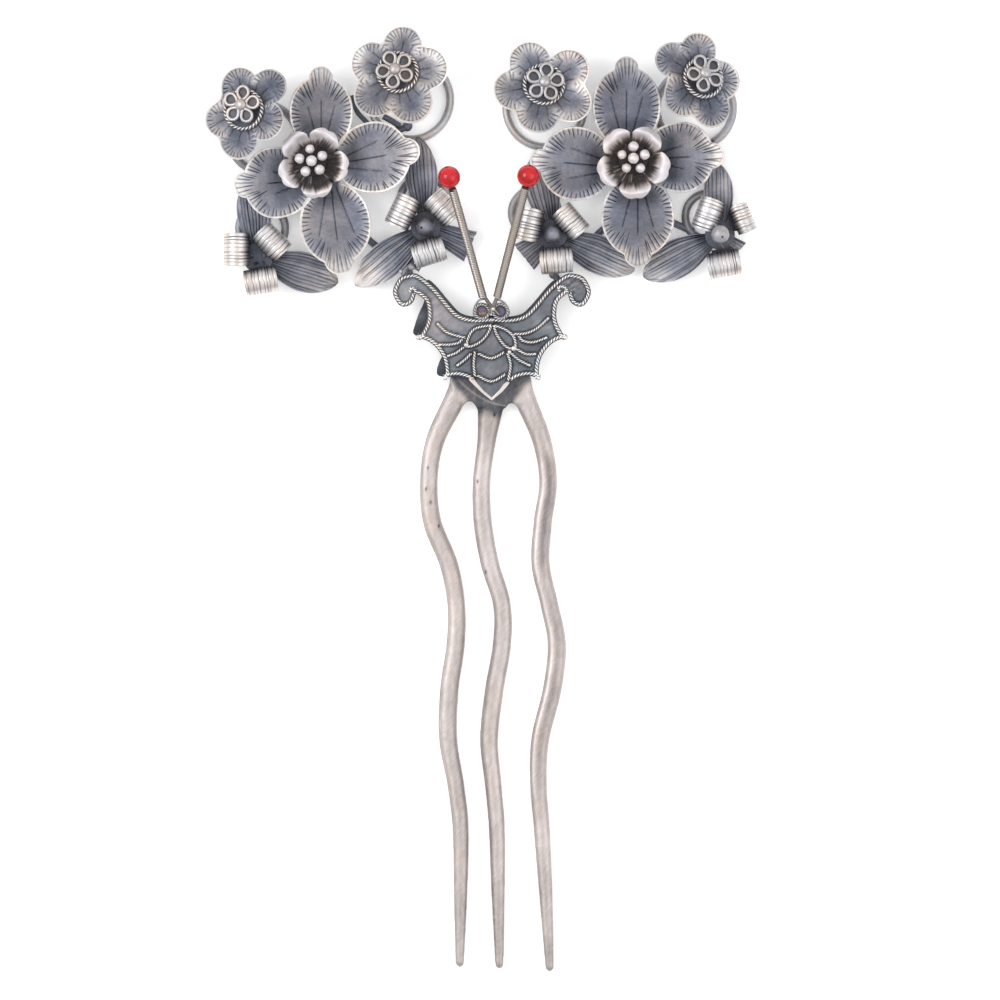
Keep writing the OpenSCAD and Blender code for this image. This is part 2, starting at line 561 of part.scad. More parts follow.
// Five loops of wire round a flat ball, on a stem from the flower's middle
module rosette(f) {
    aside = rosette_place(f);
    color(bright_silver) on_flower(f) union() {
        translate([aside[0], aside[1], rosette_lift]) {
            linear_extrude(rosette_t) difference() {
                union() {
                    circle(rosette_middle_r, $fn = round_fn);
                    for (k = [0 : 4]) rotate(f[7] + 72 * k) translate([loop_ring_r, 0])
                        circle(loop_r, $fn = round_fn);
                }
                for (k = [0 : 4]) rotate(f[7] + 72 * k) translate([loop_ring_r, 0])
                    circle(loop_r - loop_wire, $fn = round_fn);
            }
            translate([0, 0, rosette_t]) sphere(rosette_ball_r, $fn = round_fn);
        }
        rod([0, 0, petal_t / 2 + stem_clear], [aside[0], aside[1], rosette_lift + rosette_t / 2], stem_r);
    }
}

// A leaf's outline along X: two arcs from its foot to its point, or a wedge with a broad end
module leaf_shape(length, width, blunt) {
    steps = 14;
    half = [for (k = [0 : steps]) let (s = k / steps,
            share = blunt ? 0.35 + 0.65 * pow(s, 0.8) : pow(sin(180 * pow(s, 1.27)), 0.7))
        [length * s, max(width / 2 * share, s < 0.4 ? leaf_foot : 0)]];
    last = blunt ? steps : steps - 1;
    polygon(concat(half, [for (k = [last : -1 : 0]) [half[k][0], -half[k][1]]]));
}

// The leaves of a spray and the small disc that joins them
module leaves(spray) {
    color(dark_silver) translate([spray[0][0], spray[0][1], spray_z]) union() {
        for (q = spray[2]) rotate(q[0]) intersection() {
            translate([0, 0, -1]) linear_extrude(4) leaf_shape(q[1], q[2], q[3] == 1);
            translate([q[1] / 2, 0, strip_t / 2 + leaf_lift]) rotate([180, 0, 0])
                dish(leaf_arch_r, strip_t);
        }
        cylinder(r = spray_hub_r, h = spray_hub_h, $fn = round_fn);
    }
}

// The side view of a ribbon: a flat tail that rolls up and back over itself, round the origin
function ribbon_path(tail, outer_r) =
    let (r = outer_r - strip_t / 2)
    concat([[-tail, -r]], [for (a = [0 : 15 : roll_turn]) [r * sin(a), -r * cos(a)]]);

// Ribbon number k of a spray; its tail points back to the spray's middle
module ribbon(spray, k) {
    q = spray[3][k];
    across = q[2] - 90;
    outward = ([q[0], q[1]] - spray[0]) * [cos(across), sin(across)] > 0;
    outer_r = roll_r * q[5];
    width = ribbon_w * q[4];
    color(bright_silver) translate([q[0], q[1], ribbon_z + outer_r])
        rotate(outward ? across : across + 180) rotate([90, 0, 0]) translate([0, 0, -width / 2])
            linear_extrude(width) polygon(strip(ribbon_path(q[3], outer_r), strip_t));
}

// The ball of a spray on its stalk
module ball(spray) {
    middle = ribbon_z + spray[1][1];
    color(dark_silver) translate([spray[0][0], spray[0][1], 0]) union() {
        translate([0, 0, middle]) sphere(spray[1][0], $fn = round_fn);
        translate([0, 0, ribbon_z]) cylinder(r = ball_stalk_r, h = middle - ribbon_z, $fn = round_fn);
    }
}

fork();
butterfly_back_plate();
butterfly_post();
butterfly_plate();
eye_ring(EYES[0]);  // eye_ring_left
eye_ring(EYES[1]);  // eye_ring_right
antenna_knot();
antenna(ANTENNA_LEFT);  // antenna_left
antenna(ANTENNA_RIGHT);  // antenna_right
bead(ANTENNA_LEFT);  // bead_left
bead(ANTENNA_RIGHT);  // bead_right
wire_frame_left();
wire_frame_right();
big_flower(BIG_LEFT, PETALS_LEFT);  // big_flower_left
big_flower(BIG_RIGHT, PETALS_RIGHT);  // big_flower_right
cup_flower(CUP_LEFT);  // cup_flower_left
cup_flower(CUP_RIGHT);  // cup_flower_right
stamens(STAMENS_LEFT, CUP_LEFT);  // stamens_left
stamens(STAMENS_RIGHT, CUP_RIGHT);  // stamens_right
small_flower(SMALL_LEFT_OUTER);  // small_flower_left_outer
small_flower(SMALL_LEFT_INNER);  // small_flower_left_inner
small_flower(SMALL_RIGHT_INNER);  // small_flower_right_inner
small_flower(SMALL_RIGHT_OUTER);  // small_flower_right_outer
twisted_ring(SMALL_LEFT_OUTER);  // twisted_ring_left_outer
twisted_ring(SMALL_LEFT_INNER);  // twisted_ring_left_inner
twisted_ring(SMALL_RIGHT_INNER);  // twisted_ring_right_inner
twisted_ring(SMALL_RIGHT_OUTER);  // twisted_ring_right_outer
rosette(SMALL_LEFT_OUTER);  // rosette_left_outer
rosette(SMALL_LEFT_INNER);  // rosette_left_inner
rosette(SMALL_RIGHT_INNER);  // rosette_right_inner
rosette(SMALL_RIGHT_OUTER);  // rosette_right_outer
leaves(SPRAY_LEFT_OUTER);  // leaves_left_outer
leaves(SPRAY_LEFT_INNER);  // leaves_left_inner
leaves(SPRAY_RIGHT_INNER);  // leaves_right_inner
leaves(SPRAY_RIGHT_OUTER);  // leaves_right_outer
ribbon(SPRAY_LEFT_OUTER, 0);  // ribbon_left_outer_1
ribbon(SPRAY_LEFT_OUTER, 1);  // ribbon_left_outer_2
ribbon(SPRAY_LEFT_OUTER, 2);  // ribbon_left_outer_3
ribbon(SPRAY_LEFT_INNER, 0);  // ribbon_left_inner_1
ribbon(SPRAY_LEFT_INNER, 1);  // ribbon_left_inner_2
ribbon(SPRAY_LEFT_INNER, 2);  // ribbon_left_inner_3
ribbon(SPRAY_RIGHT_INNER, 0);  // ribbon_right_inner_1
ribbon(SPRAY_RIGHT_INNER, 1);  // ribbon_right_inner_2
ribbon(SPRAY_RIGHT_INNER, 2);  // ribbon_right_inner_3
ribbon(SPRAY_RIGHT_OUTER, 0);  // ribbon_right_outer_1
ribbon(SPRAY_RIGHT_OUTER, 1);  // ribbon_right_outer_2
ribbon(SPRAY_RIGHT_OUTER, 2);  // ribbon_right_outer_3
ball(SPRAY_LEFT_INNER);  // ball_left_inner
ball(SPRAY_RIGHT_INNER);  // ball_right_inner
ball(SPRAY_RIGHT_OUTER);  // ball_right_outer
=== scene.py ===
# %% [markdown]
# # A silver hair fork with a butterfly, flowers and coral beads
# The real ornament is thin sheet silver and wire, blackened and then rubbed bright on its high
# places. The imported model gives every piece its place, so this lesson makes each piece again with
# the chasing, the twists and the wear that the plain solids leave out.

import math

import bmesh
import bpy
from mathutils.kdtree import KDTree
from mathutils import Matrix, Vector, noise


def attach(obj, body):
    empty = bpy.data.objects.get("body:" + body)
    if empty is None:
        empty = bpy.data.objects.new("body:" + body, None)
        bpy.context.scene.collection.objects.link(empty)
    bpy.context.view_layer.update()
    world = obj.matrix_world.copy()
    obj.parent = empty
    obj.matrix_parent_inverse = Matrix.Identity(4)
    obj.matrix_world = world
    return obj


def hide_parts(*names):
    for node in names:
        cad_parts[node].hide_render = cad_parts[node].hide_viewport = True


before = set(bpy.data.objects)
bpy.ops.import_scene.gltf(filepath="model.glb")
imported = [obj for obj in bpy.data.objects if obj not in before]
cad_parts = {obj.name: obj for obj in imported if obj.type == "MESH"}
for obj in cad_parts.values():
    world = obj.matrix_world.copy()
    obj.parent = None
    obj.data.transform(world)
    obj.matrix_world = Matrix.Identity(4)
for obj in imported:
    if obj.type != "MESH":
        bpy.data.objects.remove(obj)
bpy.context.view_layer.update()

# %% [markdown]
# ## Small helpers
# All sizes below are in millimetres, as a maker would write them. A finished mesh is scaled to
# metres once, in `finished`, which also gives the piece its material and its body, and hides the
# model node that it stands for.

# %% Numbers used everywhere
MM = 0.001
TURN = 2 * math.pi
UP = Vector((0, 0, 1))


def rad(degrees):
    return math.radians(degrees)


def step(low, high, x):
    """Smooth rise from 0 at low to 1 at high; low may be the larger one."""
    t = min(1.0, max(0.0, (x - low) / (high - low)))
    return t * t * (3 - 2 * t)


def bell(x, width):
    """1 at x = 0, falling to almost 0 at two widths away."""
    return math.exp(-(x / width) ** 2)


def scatter(k):
    """A repeatable number from 0 to 1 for each k."""
    return (math.sin(k * 12.9898 + 4.137) * 43758.5453) % 1.0


def rough(x, y, z, size):
    """Smooth noise from -1 to 1 with lumps of about the given size."""
    return noise.noise(Vector((x, y, z)) / size)


# %% [markdown]
# Each vertex carries one number, `wear`: 0 is a deep black groove, about 0.4 the grey field and
# 1 a ridge rubbed bright. The materials read it, so colour follows the shape as it does on
# blackened silver.
# In a few places `wear` also carries painted shade and painted highlights, each marked where it is
# added.

# %% Start and finish a mesh
def new_mesh():
    bm = bmesh.new()
    bm.verts.layers.float.new("wear")
    return bm


def closed_up(bm, reach=0.002):
    """Merge vertices that meet and turn all faces outwards."""
    bmesh.ops.remove_doubles(bm, verts=bm.verts, dist=reach)
    bmesh.ops.recalc_face_normals(bm, faces=bm.faces)


def put(name, data):
    """A new object in the scene."""
    thing = bpy.data.objects.new(name, data)
    bpy.context.scene.collection.objects.link(thing)
    return thing


def finished(name, bm, material, nodes, sharp=50):
    """Make the mesh a piece in metres; nothing may dip under the table at z = 0."""
    mesh = bpy.data.meshes.new(name)
    for v in bm.verts:
        v.co.z = max(v.co.z, 0)
    bmesh.ops.scale(bm, vec=(MM, MM, MM), verts=bm.verts)
    bm.to_mesh(mesh)
    bm.free()
    mesh.materials.append(material)
    mesh.shade_smooth()
    mesh.set_sharp_from_angle(angle=rad(sharp))
    piece = put(name, mesh)
    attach(piece, "root")
    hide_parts(*nodes)
    triangles = sum(len(p.vertices) - 2 for p in mesh.polygons)
    print(name, triangles, "triangles")


def finished_as(node, word, bm, material, reach=0.002):
    """Close a mesh up and finish it under its node's name with a word added."""
    closed_up(bm, reach)
    finished(node + "_" + word, bm, material, [node])


# %% [markdown]
# Most pieces are sheet metal, so they begin as a flat grid that is bent into shape. A wire is the
# same grid rolled into a tube along a path. Its ends are drawn in to a point, so it is closed.

# %% Bend a grid, sweep a wire
def bent_grid(bm, across, along, place):
    """place(u, v) gives x, y, z and wear for u and v from 0 to 1."""
    wear = bm.verts.layers.float["wear"]
    grid = bmesh.ops.create_grid(bm, x_segments=across, y_segments=along, size=0.5)["verts"]
    for corner in grid:
        x, y, z, rubbed = place(corner.co.x + 0.5, corner.co.y + 0.5)
        corner.co = (x, y, z)
        corner[wear] = rubbed
    return grid


def extruded(bm, faces):
    """Extrude faces and return the new vertices."""
    made = bmesh.ops.extrude_face_region(bm, geom=faces)["geom"]
    return [g for g in made if isinstance(g, bmesh.types.BMVert)]


def straight_down(thick):
    return lambda spot: Vector((0, 0, -thick))


def sheet(bm, across, along, place, under):
    """A bent grid with a wall; under(spot) says where the wall's lower side is from a spot."""
    grid = bent_grid(bm, across, along, place)
    bmesh.ops.remove_doubles(bm, verts=grid, dist=0.002)
    faces = list(dict.fromkeys(f for v in grid if v.is_valid for f in v.link_faces))
    bmesh.ops.recalc_face_normals(bm, faces=faces)
    lower = extruded(bm, faces)
    for v in lower:
        v.co += under(v.co)
    return lower


def round_spot(x, y, r, a):
    """The spot at the distance r from x, y in the direction a."""
    return x + r * math.cos(a), y + r * math.sin(a)


def circle_of(x, y, r, z, count):
    return [(*round_spot(x, y, r, TURN * k / count), z) for k in range(count)]


def dull_underside(bm, lower):
    layer = bm.verts.layers.float["wear"]
    for v in lower:
        v[layer] = 0.28 + 0.12 * rough(v.co.x, v.co.y, 50, 2)


def even(path, spacing, loop=False):
    """The path again with its points at equal distances."""
    path = [Vector(p) for p in path]
    if loop:
        path.append(path[0])
    lengths = [(b - a).length for a, b in zip(path, path[1:])]
    count = max(2, round(sum(lengths) / spacing))
    points = []
    piece, start = 0, 0.0
    for k in range(count if loop else count + 1):
        s = sum(lengths) * k / count
        while piece < len(lengths) - 1 and s > start + lengths[piece]:
            start += lengths[piece]
            piece += 1
        points.append(path[piece].lerp(path[piece + 1], min(1, (s - start) / lengths[piece])))
    return points


def headings(path, loop, up):
    """For each point: the unit vectors to the side of the path and above it."""
    result = []
    for i, p in enumerate(path):
        after = path[(i + 1) % len(path)] if loop else path[min(i + 1, len(path) - 1)]
        before = path[i - 1] if loop or i else path[0]
        way = (after - before).normalized()
        ref = up if abs(way.dot(up)) < 0.97 else Vector((1, 0, 0))
        side = way.cross(ref).normalized()
        result.append((side, side.cross(way)))
    return result


def wire(bm, path, radius, sides=10, wear=0.7, loop=False, axis=None, up=UP, uneven=0.0):
    """A round wire along a path; with an axis, the side away from it is rubbed bright."""
    path = [Vector(p) for p in path]
    frames = headings(path, loop, up)
    count = len(path)
    order = list(range(count)) + [0] if loop else [0] + list(range(count)) + [count - 1]

    def place(u, v):
        row = round(v * (len(order) - 1))
        i = order[row]
        a = TURN * u
        out = frames[i][0] * math.cos(a) + frames[i][1] * math.sin(a)
        p = path[i]
        at_end = not loop and row in (0, len(order) - 1)
        r = 0.0 if at_end else radius
        if uneven:
            r *= 1 + uneven * rough(p.x, p.y, a, 1.3)
        rubbed = wear
        if axis is not None:
            away = out.dot((p - axis[i]).normalized())
            rubbed = 0.1 + (wear - 0.1) * step(-0.15, 0.5, away)
        return *(p + out * r), rubbed

    tube = bent_grid(bm, sides, len(order) - 1, place)
    bmesh.ops.remove_doubles(bm, verts=tube, dist=0.0008)


def twisted(bm, path, strand, pitch, loop=False, points=10, wear=0.95):
    """Two round wires wound round each other along a path, with points for each twist."""
    line = even(path, pitch / points, loop)
    frames = headings(line, loop, UP)
    turns = len(line) / points
    if loop:
        turns = round(turns)
    for first in (0, math.pi):
        wound = []
        for i, (p, (side, above)) in enumerate(zip(line, frames)):
            a = first + TURN * turns * i / len(line)
            wound.append(p + (side * math.cos(a) + above * math.sin(a)) * strand)
        wire(bm, wound, strand * 1.05, 8, wear=wear, loop=loop, axis=line)


def smooth_through(points, steps=4):
    """A smooth curve through points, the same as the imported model's outlines."""
    def row(i):
        return Vector(points[max(0, min(len(points) - 1, i))])

    curve = []
    for k in range((len(points) - 1) * steps + 1):
        i = min(k // steps, len(points) - 2)
        u = k / steps - i
        a, b, c, d = row(i - 1), row(i), row(i + 1), row(i + 2)
        bend = 2 * a - 5 * b + 4 * c - d + u * (3 * (b - c) + d - a)
        curve.append(b + 0.5 * u * (c - a + u * bend))
    return curve


def bead_of(bm, middle, radius, wear, squash=1.0, lumps=0.0, lump_size=1.0, fine=3):
    """A ball or a blob of solder."""
    layer = bm.verts.layers.float["wear"]
    ball = bmesh.ops.create_icosphere(bm, subdivisions=fine, radius=1)["verts"]
    for v in ball:
        bump = lumps * rough(v.co.x + middle[0], v.co.y + middle[1], v.co.z, lump_size / radius)
        v[layer] = wear + 2.0 * min(0, bump)
        v.co = Vector(middle) + v.co * (radius * (1 + bump)) * Vector((1, 1, squash))


# %% [markdown]
# ## Finishes
# One recipe makes all the blackened silver: a ramp turns `wear` into colour, two noises blotch
# it, a slow third one tints it warm or cool, and fine stretched noise gives the brush marks their
# bump.

# %% Colour and node helpers
def srgb(r, g, b):
    """A colour on the 0 to 255 scale of a picture, made linear for the shader."""
    parts = []
    for c in (r / 255, g / 255, b / 255):
        parts.append(c / 12.92 if c <= 0.04045 else ((c + 0.055) / 1.055) ** 2.4)
    return tuple(parts)


def tones(*rows):
    """Stops of a ramp, each a place from 0 to 1 and a colour on the 0 to 255 scale."""
    return [(spot, srgb(*colour)) for spot, *colour in rows]


def dress(tree, target, values):
    """Set a node's inputs; a value that is another node's socket is linked."""
    for name, value in values.items():
        if isinstance(value, bpy.types.NodeSocket):
            tree.links.new(value, target.inputs[name])
        else:
            target.inputs[name].default_value = value


def add_node(tree, kind, values, **settings):
    made = tree.nodes.new("ShaderNode" + kind)
    for name, setting in settings.items():
        setattr(made, name, setting)
    dress(tree, made, values)
    return made


def noise_node(tree, coords, scale, detail=3.0, roughness=0.55):
    values = {"Vector": coords, "Scale": scale, "Detail": detail, "Roughness": roughness}
    return add_node(tree, "TexNoise", values).outputs["Fac"]


def math_node(tree, operation, *terms):
    return add_node(tree, "Math", dict(enumerate(terms)), operation=operation).outputs[0]


def mix_node(tree, factor, first, second, blend="MIX"):
    # a colour mix keeps its two colours in inputs 6 and 7 and its result in output 2
    values = {0: factor, 6: first, 7: second}
    return add_node(tree, "Mix", values, data_type="RGBA", blend_type=blend).outputs[2]


def ramp_node(tree, factor, stops):
    ramp = add_node(tree, "ValToRGB", {"Fac": factor})
    band = ramp.color_ramp.elements
    while len(band) < len(stops):
        band.new(0.5)
    for element, (spot, colour) in zip(band, stops):
        element.position = spot
        element.color = (*colour, 1)
    return ramp.outputs["Color"]


def object_coords(tree, stretch=(1, 1, 1), turn=0.0):
    coords = add_node(tree, "TexCoord", {}).outputs["Object"]
    values = {"Vector": coords, "Scale": stretch, "Rotation": (0, 0, turn)}
    return add_node(tree, "Mapping", values, vector_type="TEXTURE").outputs["Vector"]


def new_material(name):
    material = bpy.data.materials.new(name)
    material.use_nodes = True
    return material, material.node_tree, material.node_tree.nodes["Principled BSDF"]


# %% The blackened silver recipe
PATCHES, SPECKS, BRUSH_MARKS, STAINS = 230, 2300, 3400, 160  # scales of the noises, per metre
MARK_DEPTH = 0.08 * MM


def blackened_silver(name, stops, rough_range=(0.55, 0.32), metal=0.9, brush=(1, 1, 1), turn=0.0,
                     bump=0.3, blotch=0.3, grain=0.22, tints=((1, 0.95, 0.9), (0.93, 0.98, 1.03))):
    material, tree, shader = new_material(name)
    brushed = object_coords(tree, brush, turn)
    wear = add_node(tree, "Attribute", {}, attribute_name="wear").outputs["Fac"]
    patches = noise_node(tree, object_coords(tree), PATCHES, 4)
    specks = noise_node(tree, brushed, SPECKS, 5, 0.7)
    blotched = math_node(tree, "MULTIPLY_ADD", patches, blotch, wear)
    mottled = math_node(tree, "MULTIPLY_ADD", specks, grain, blotched)
    shade = math_node(tree, "SUBTRACT", mottled, (blotch + grain) / 2)
    stains = noise_node(tree, object_coords(tree, (1, 1, 1.7)), STAINS, 3)
    tint = ramp_node(tree, stains, [(0.36, tints[0]), (0.5, (1, 1, 1)), (0.64, tints[1])])
    colour = mix_node(tree, 1, ramp_node(tree, shade, stops), tint, "MULTIPLY")
    dull = add_node(tree, "MapRange", {"Value": shade, "To Min": rough_range[0],
                                       "To Max": rough_range[1]})
    marks = noise_node(tree, brushed, BRUSH_MARKS, 4, 0.65)
    relief = add_node(tree, "Bump", {"Height": marks, "Strength": bump, "Distance": MARK_DEPTH})
    dress(tree, shader, {"Metallic": metal, "Base Color": colour,
                         "Roughness": dull.outputs["Result"], "Normal": relief.outputs["Normal"]})
    return material


# %% The silvers
dark_sheet = blackened_silver(
    "dark_sheet", tones((0, 34, 36, 42), (0.2, 76, 79, 88), (0.42, 122, 124, 135),
                        (0.62, 168, 165, 168), (0.82, 212, 206, 203), (1, 234, 229, 225)),
    (0.64, 0.5), bump=0.2, blotch=0.2, grain=0.24)
bright_sheet = blackened_silver(
    "bright_sheet", tones((0, 38, 38, 42), (0.25, 96, 94, 98), (0.5, 166, 161, 161),
                          (0.8, 222, 216, 213), (1, 246, 242, 239)),
    (0.55, 0.36), bump=0.2, blotch=0.15, grain=0.15)
cup_sheet = blackened_silver(
    "cup_sheet", tones((0, 38, 36, 38), (0.2, 74, 70, 70), (0.4, 122, 112, 107),
                       (0.6, 178, 169, 166), (0.8, 216, 210, 212), (1, 236, 232, 234)),
    (0.68, 0.56), metal=0.8, bump=0.35, blotch=0.16, grain=0.24,
    tints=((1, 0.96, 0.92), (0.98, 0.99, 1.02)))
wing_sheet = blackened_silver(
    "wing_sheet", tones((0, 32, 34, 38), (0.25, 70, 74, 80), (0.5, 116, 120, 126),
                        (0.75, 168, 167, 170), (1, 226, 222, 218)),
    (0.55, 0.4), blotch=0.24, grain=0.3, brush=(0.6, 3, 0.6), turn=rad(-50),
    tints=((1.04, 0.96, 0.97), (0.92, 1.01, 1.02)))
bare_metal = blackened_silver(
    "bare_metal", tones((0, 50, 52, 57), (0.2, 92, 94, 100), (0.4, 152, 144, 141),
                        (0.65, 205, 196, 193), (1, 236, 230, 227)),
    (0.52, 0.44), brush=(0.5, 3, 0.5), turn=rad(-40), bump=0.5, blotch=0.12, grain=0.3,
    tints=((1, 0.97, 0.95), (0.98, 0.99, 1.01)))
spring_wire = blackened_silver(
    "spring_wire", tones((0, 36, 32, 30), (0.4, 104, 96, 90), (0.8, 186, 178, 172),
                         (1, 214, 208, 202)), (0.46, 0.34), bump=0.1, blotch=0.1, grain=0.1)
print("finishes", [m.name for m in bpy.data.materials])


# %% A heat stain
def heat_stain(material, place, reach, strength=0.55):
    """Soldering leaves copper, rose and blue streaks round a joint."""
    tree = material.node_tree
    shader = tree.nodes["Principled BSDF"]
    plain_metal = shader.inputs["Base Color"].links[0].from_socket
    distance = add_node(tree, "VectorMath", {0: object_coords(tree), 1: Vector(place) * MM},
                        operation="DISTANCE")
    near = add_node(tree, "MapRange", {"Value": distance.outputs["Value"],
                                       "From Min": reach * MM, "From Max": reach * MM * 0.3})
    streaks = noise_node(tree, object_coords(tree, (0.6, 1.3, 1), rad(-50)), 1300, 2)
    hues = ramp_node(tree, streaks, tones((0.38, 58, 60, 68), (0.5, 104, 118, 126),
                                          (0.6, 160, 124, 124), (0.68, 206, 156, 118)))
    here = math_node(tree, "MULTIPLY", near.outputs["Result"], strength)
    dress(tree, shader, {"Base Color": mix_node(tree, here, plain_metal, hues)})


RIGHT_SCROLL = (14, 33.8, 4.6)
heat_stain(wing_sheet, RIGHT_SCROLL, 2.8)

# %% [markdown]
# ## The three prongs and their root
# Each prong is a hammered, slightly flattened wire that waves from side to side and tapers to a
# blunt tip. It is swept along the rows of the table. The root plate joins them behind the
# butterfly, so it is a bevelled slab.

# %% The prongs' table
# height up the fork, the three prongs' x, their width, and the middle one's extra width
PRONG_ROWS = [
    (19, -3.2, 1.4, 5.9, 3.4, 1.2), (15.8, -4.5, 1.4, 6.9, 3.4, 1), (9.2, -7.6, 0.65, 9.5, 3, 0),
    (2.6, -8.6, -0.15, 10.5, 2.85, 0), (-3.9, -8, 0.05, 9.65, 2.95, 0),
    (-10.5, -5.4, 1.2, 9.3, 2.95, 0), (-17, -4.2, 3.1, 10.7, 2.85, 0),
    (-23.4, -4.3, 3.1, 11.9, 2.95, 0), (-30.6, -5.3, 1.9, 11.15, 3, 0),
    (-38.5, -5.5, 1.05, 9.25, 2.9, 0), (-45.7, -4.3, 1.7, 8.95, 2.7, 0),
    (-52.9, -3.5, 2.3, 9.5, 2.6, 0), (-63.4, -3.5, 2.5, 10.15, 2.2, 0),
    (-75, -3.65, 2.7, 10.75, 1.4, 0)]
TIP_ROUNDING = ((0.25, 0.95), (0.45, 0.84), (0.65, 0.62), (0.78, 0.3), (0.8, 0.02))
TIP_SHORTER = (0.7, 0.45, 0)
PRONG_FLATNESS = 0.7
PRONG_LIFT = 0.05
MIDDLE = 1


# %% Sweep one prong
def prong_rows(column):
    rows = []
    for r in smooth_through(PRONG_ROWS, 24):
        below = max(0, -50 - r[0]) / 25
        width = r[4] + (r[5] if column == MIDDLE else 0)
        rows.append((r[1 + column], r[0] + TIP_SHORTER[column] * below, width, r[4]))
    x, y, width, plain = rows[-1]
    for further, share in TIP_ROUNDING:
        rows.append((x, y - further, width * share, plain * share))
    return rows


def add_prong(bm, column, sides=30):
    rows = prong_rows(column)
    spots = [Vector((x, y, 0)) for x, y, w, t in rows]
    frames = headings(spots, False, UP)

    def place(u, v):
        row = round(v * (len(rows) + 1))
        i = min(max(row - 1, 0), len(rows) - 1)
        x, y, width, plain = rows[i]
        a = TURN * u
        full = 0 if row in (0, len(rows) + 1) else 1
        half = plain * PRONG_FLATNESS / 2
        out = math.copysign(abs(math.cos(a)) ** 0.9, math.cos(a))
        beat = 1 + 0.012 * rough(x * 2, y, a, 2.2)
        p = spots[i] + frames[i][0] * (out * width / 2 * beat * full)
        z = PRONG_LIFT + half + half * math.sin(a) * full * beat
        return p.x, p.y, z, 0

    tube = bent_grid(bm, sides, len(rows) + 1, place)
    bmesh.ops.remove_doubles(bm, verts=tube, dist=0.001)


# %% The root plate and the fork
ROOT_OUTLINE = [
    (-2.1, 15.6), (-2.6, 15.4), (-3.1, 14.9), (-4.4, 16), (-5.3, 18.6), (-4.4, 23), (-1.6, 26.6),
    (1.4, 27.4), (4.4, 26.6), (7, 23), (7.9, 18.6), (7, 16), (5.6, 14.7), (5.1, 15.15),
    (4.5, 15.3), (4, 15), (3.7, 14.4), (3.2, 14.6), (1.4, 15.2), (0, 14.6), (-0.9, 14.4),
    (-1.2, 15), (-1.6, 15.45)]
ROOT_THICK = 2.5


def add_slab(bm, outline, low, high, wear, edge=0.12):
    """A flat plate with softened edges, from its outline."""
    layer = bm.verts.layers.float["wear"]
    ring = [bm.verts.new((x, y, low)) for x, y in outline]
    top = extruded(bm, [bm.faces.new(ring)])
    bmesh.ops.translate(bm, vec=(0, 0, high - low), verts=top)
    corners = ring + top
    edges = list(dict.fromkeys(e for v in corners for e in v.link_edges
                               if abs(e.verts[0].co.z - e.verts[1].co.z) < 0.01))
    made = bmesh.ops.bevel(bm, geom=edges, offset=edge, segments=2, profile=0.5, affect="EDGES",
                           material=-1)
    for v in made["verts"] + [v for v in corners if v.is_valid]:
        v[layer] = wear


# %% Melt them together
def melted(bm, cell, rounds):
    """Overlapping bodies made one skin: remeshed in small cells, then smoothed."""
    rough_mesh = bpy.data.meshes.new("unmelted")
    bm.to_mesh(rough_mesh)
    bm.free()
    lump = put("unmelted", rough_mesh)
    skin = lump.modifiers.new("skin", "REMESH")
    skin.mode = "VOXEL"
    skin.voxel_size = cell
    ready = lump.evaluated_get(bpy.context.evaluated_depsgraph_get())
    whole = bpy.data.meshes.new_from_object(ready)
    out = new_mesh()
    out.from_mesh(whole)
    bpy.data.objects.remove(lump)
    bpy.data.meshes.remove(rough_mesh)
    bpy.data.meshes.remove(whole)
    for _ in range(rounds):
        bmesh.ops.smooth_vert(out, verts=out.verts, factor=0.5, use_axis_x=True, use_axis_y=True,
                              use_axis_z=True)
    return out


fork_mesh = new_mesh()
for column in range(3):
    add_prong(fork_mesh, column)
add_slab(fork_mesh, ROOT_OUTLINE, 0, ROOT_THICK, 0.3)
closed_up(fork_mesh)
fork_mesh = melted(fork_mesh, 0.18, 8)

# %% Wear and painted shade of the fork
PRONG_PITS = ((-8.7, 4.9), (-9, 1.5), (-8.3, -0.6), (-7, -4.4), (-0.8, 2.7), (1.9, 13.4),
              (0.5, -11.8))
prong_at = [{round(2 * row[1]): row[0] for row in prong_rows(column)} for column in range(3)]


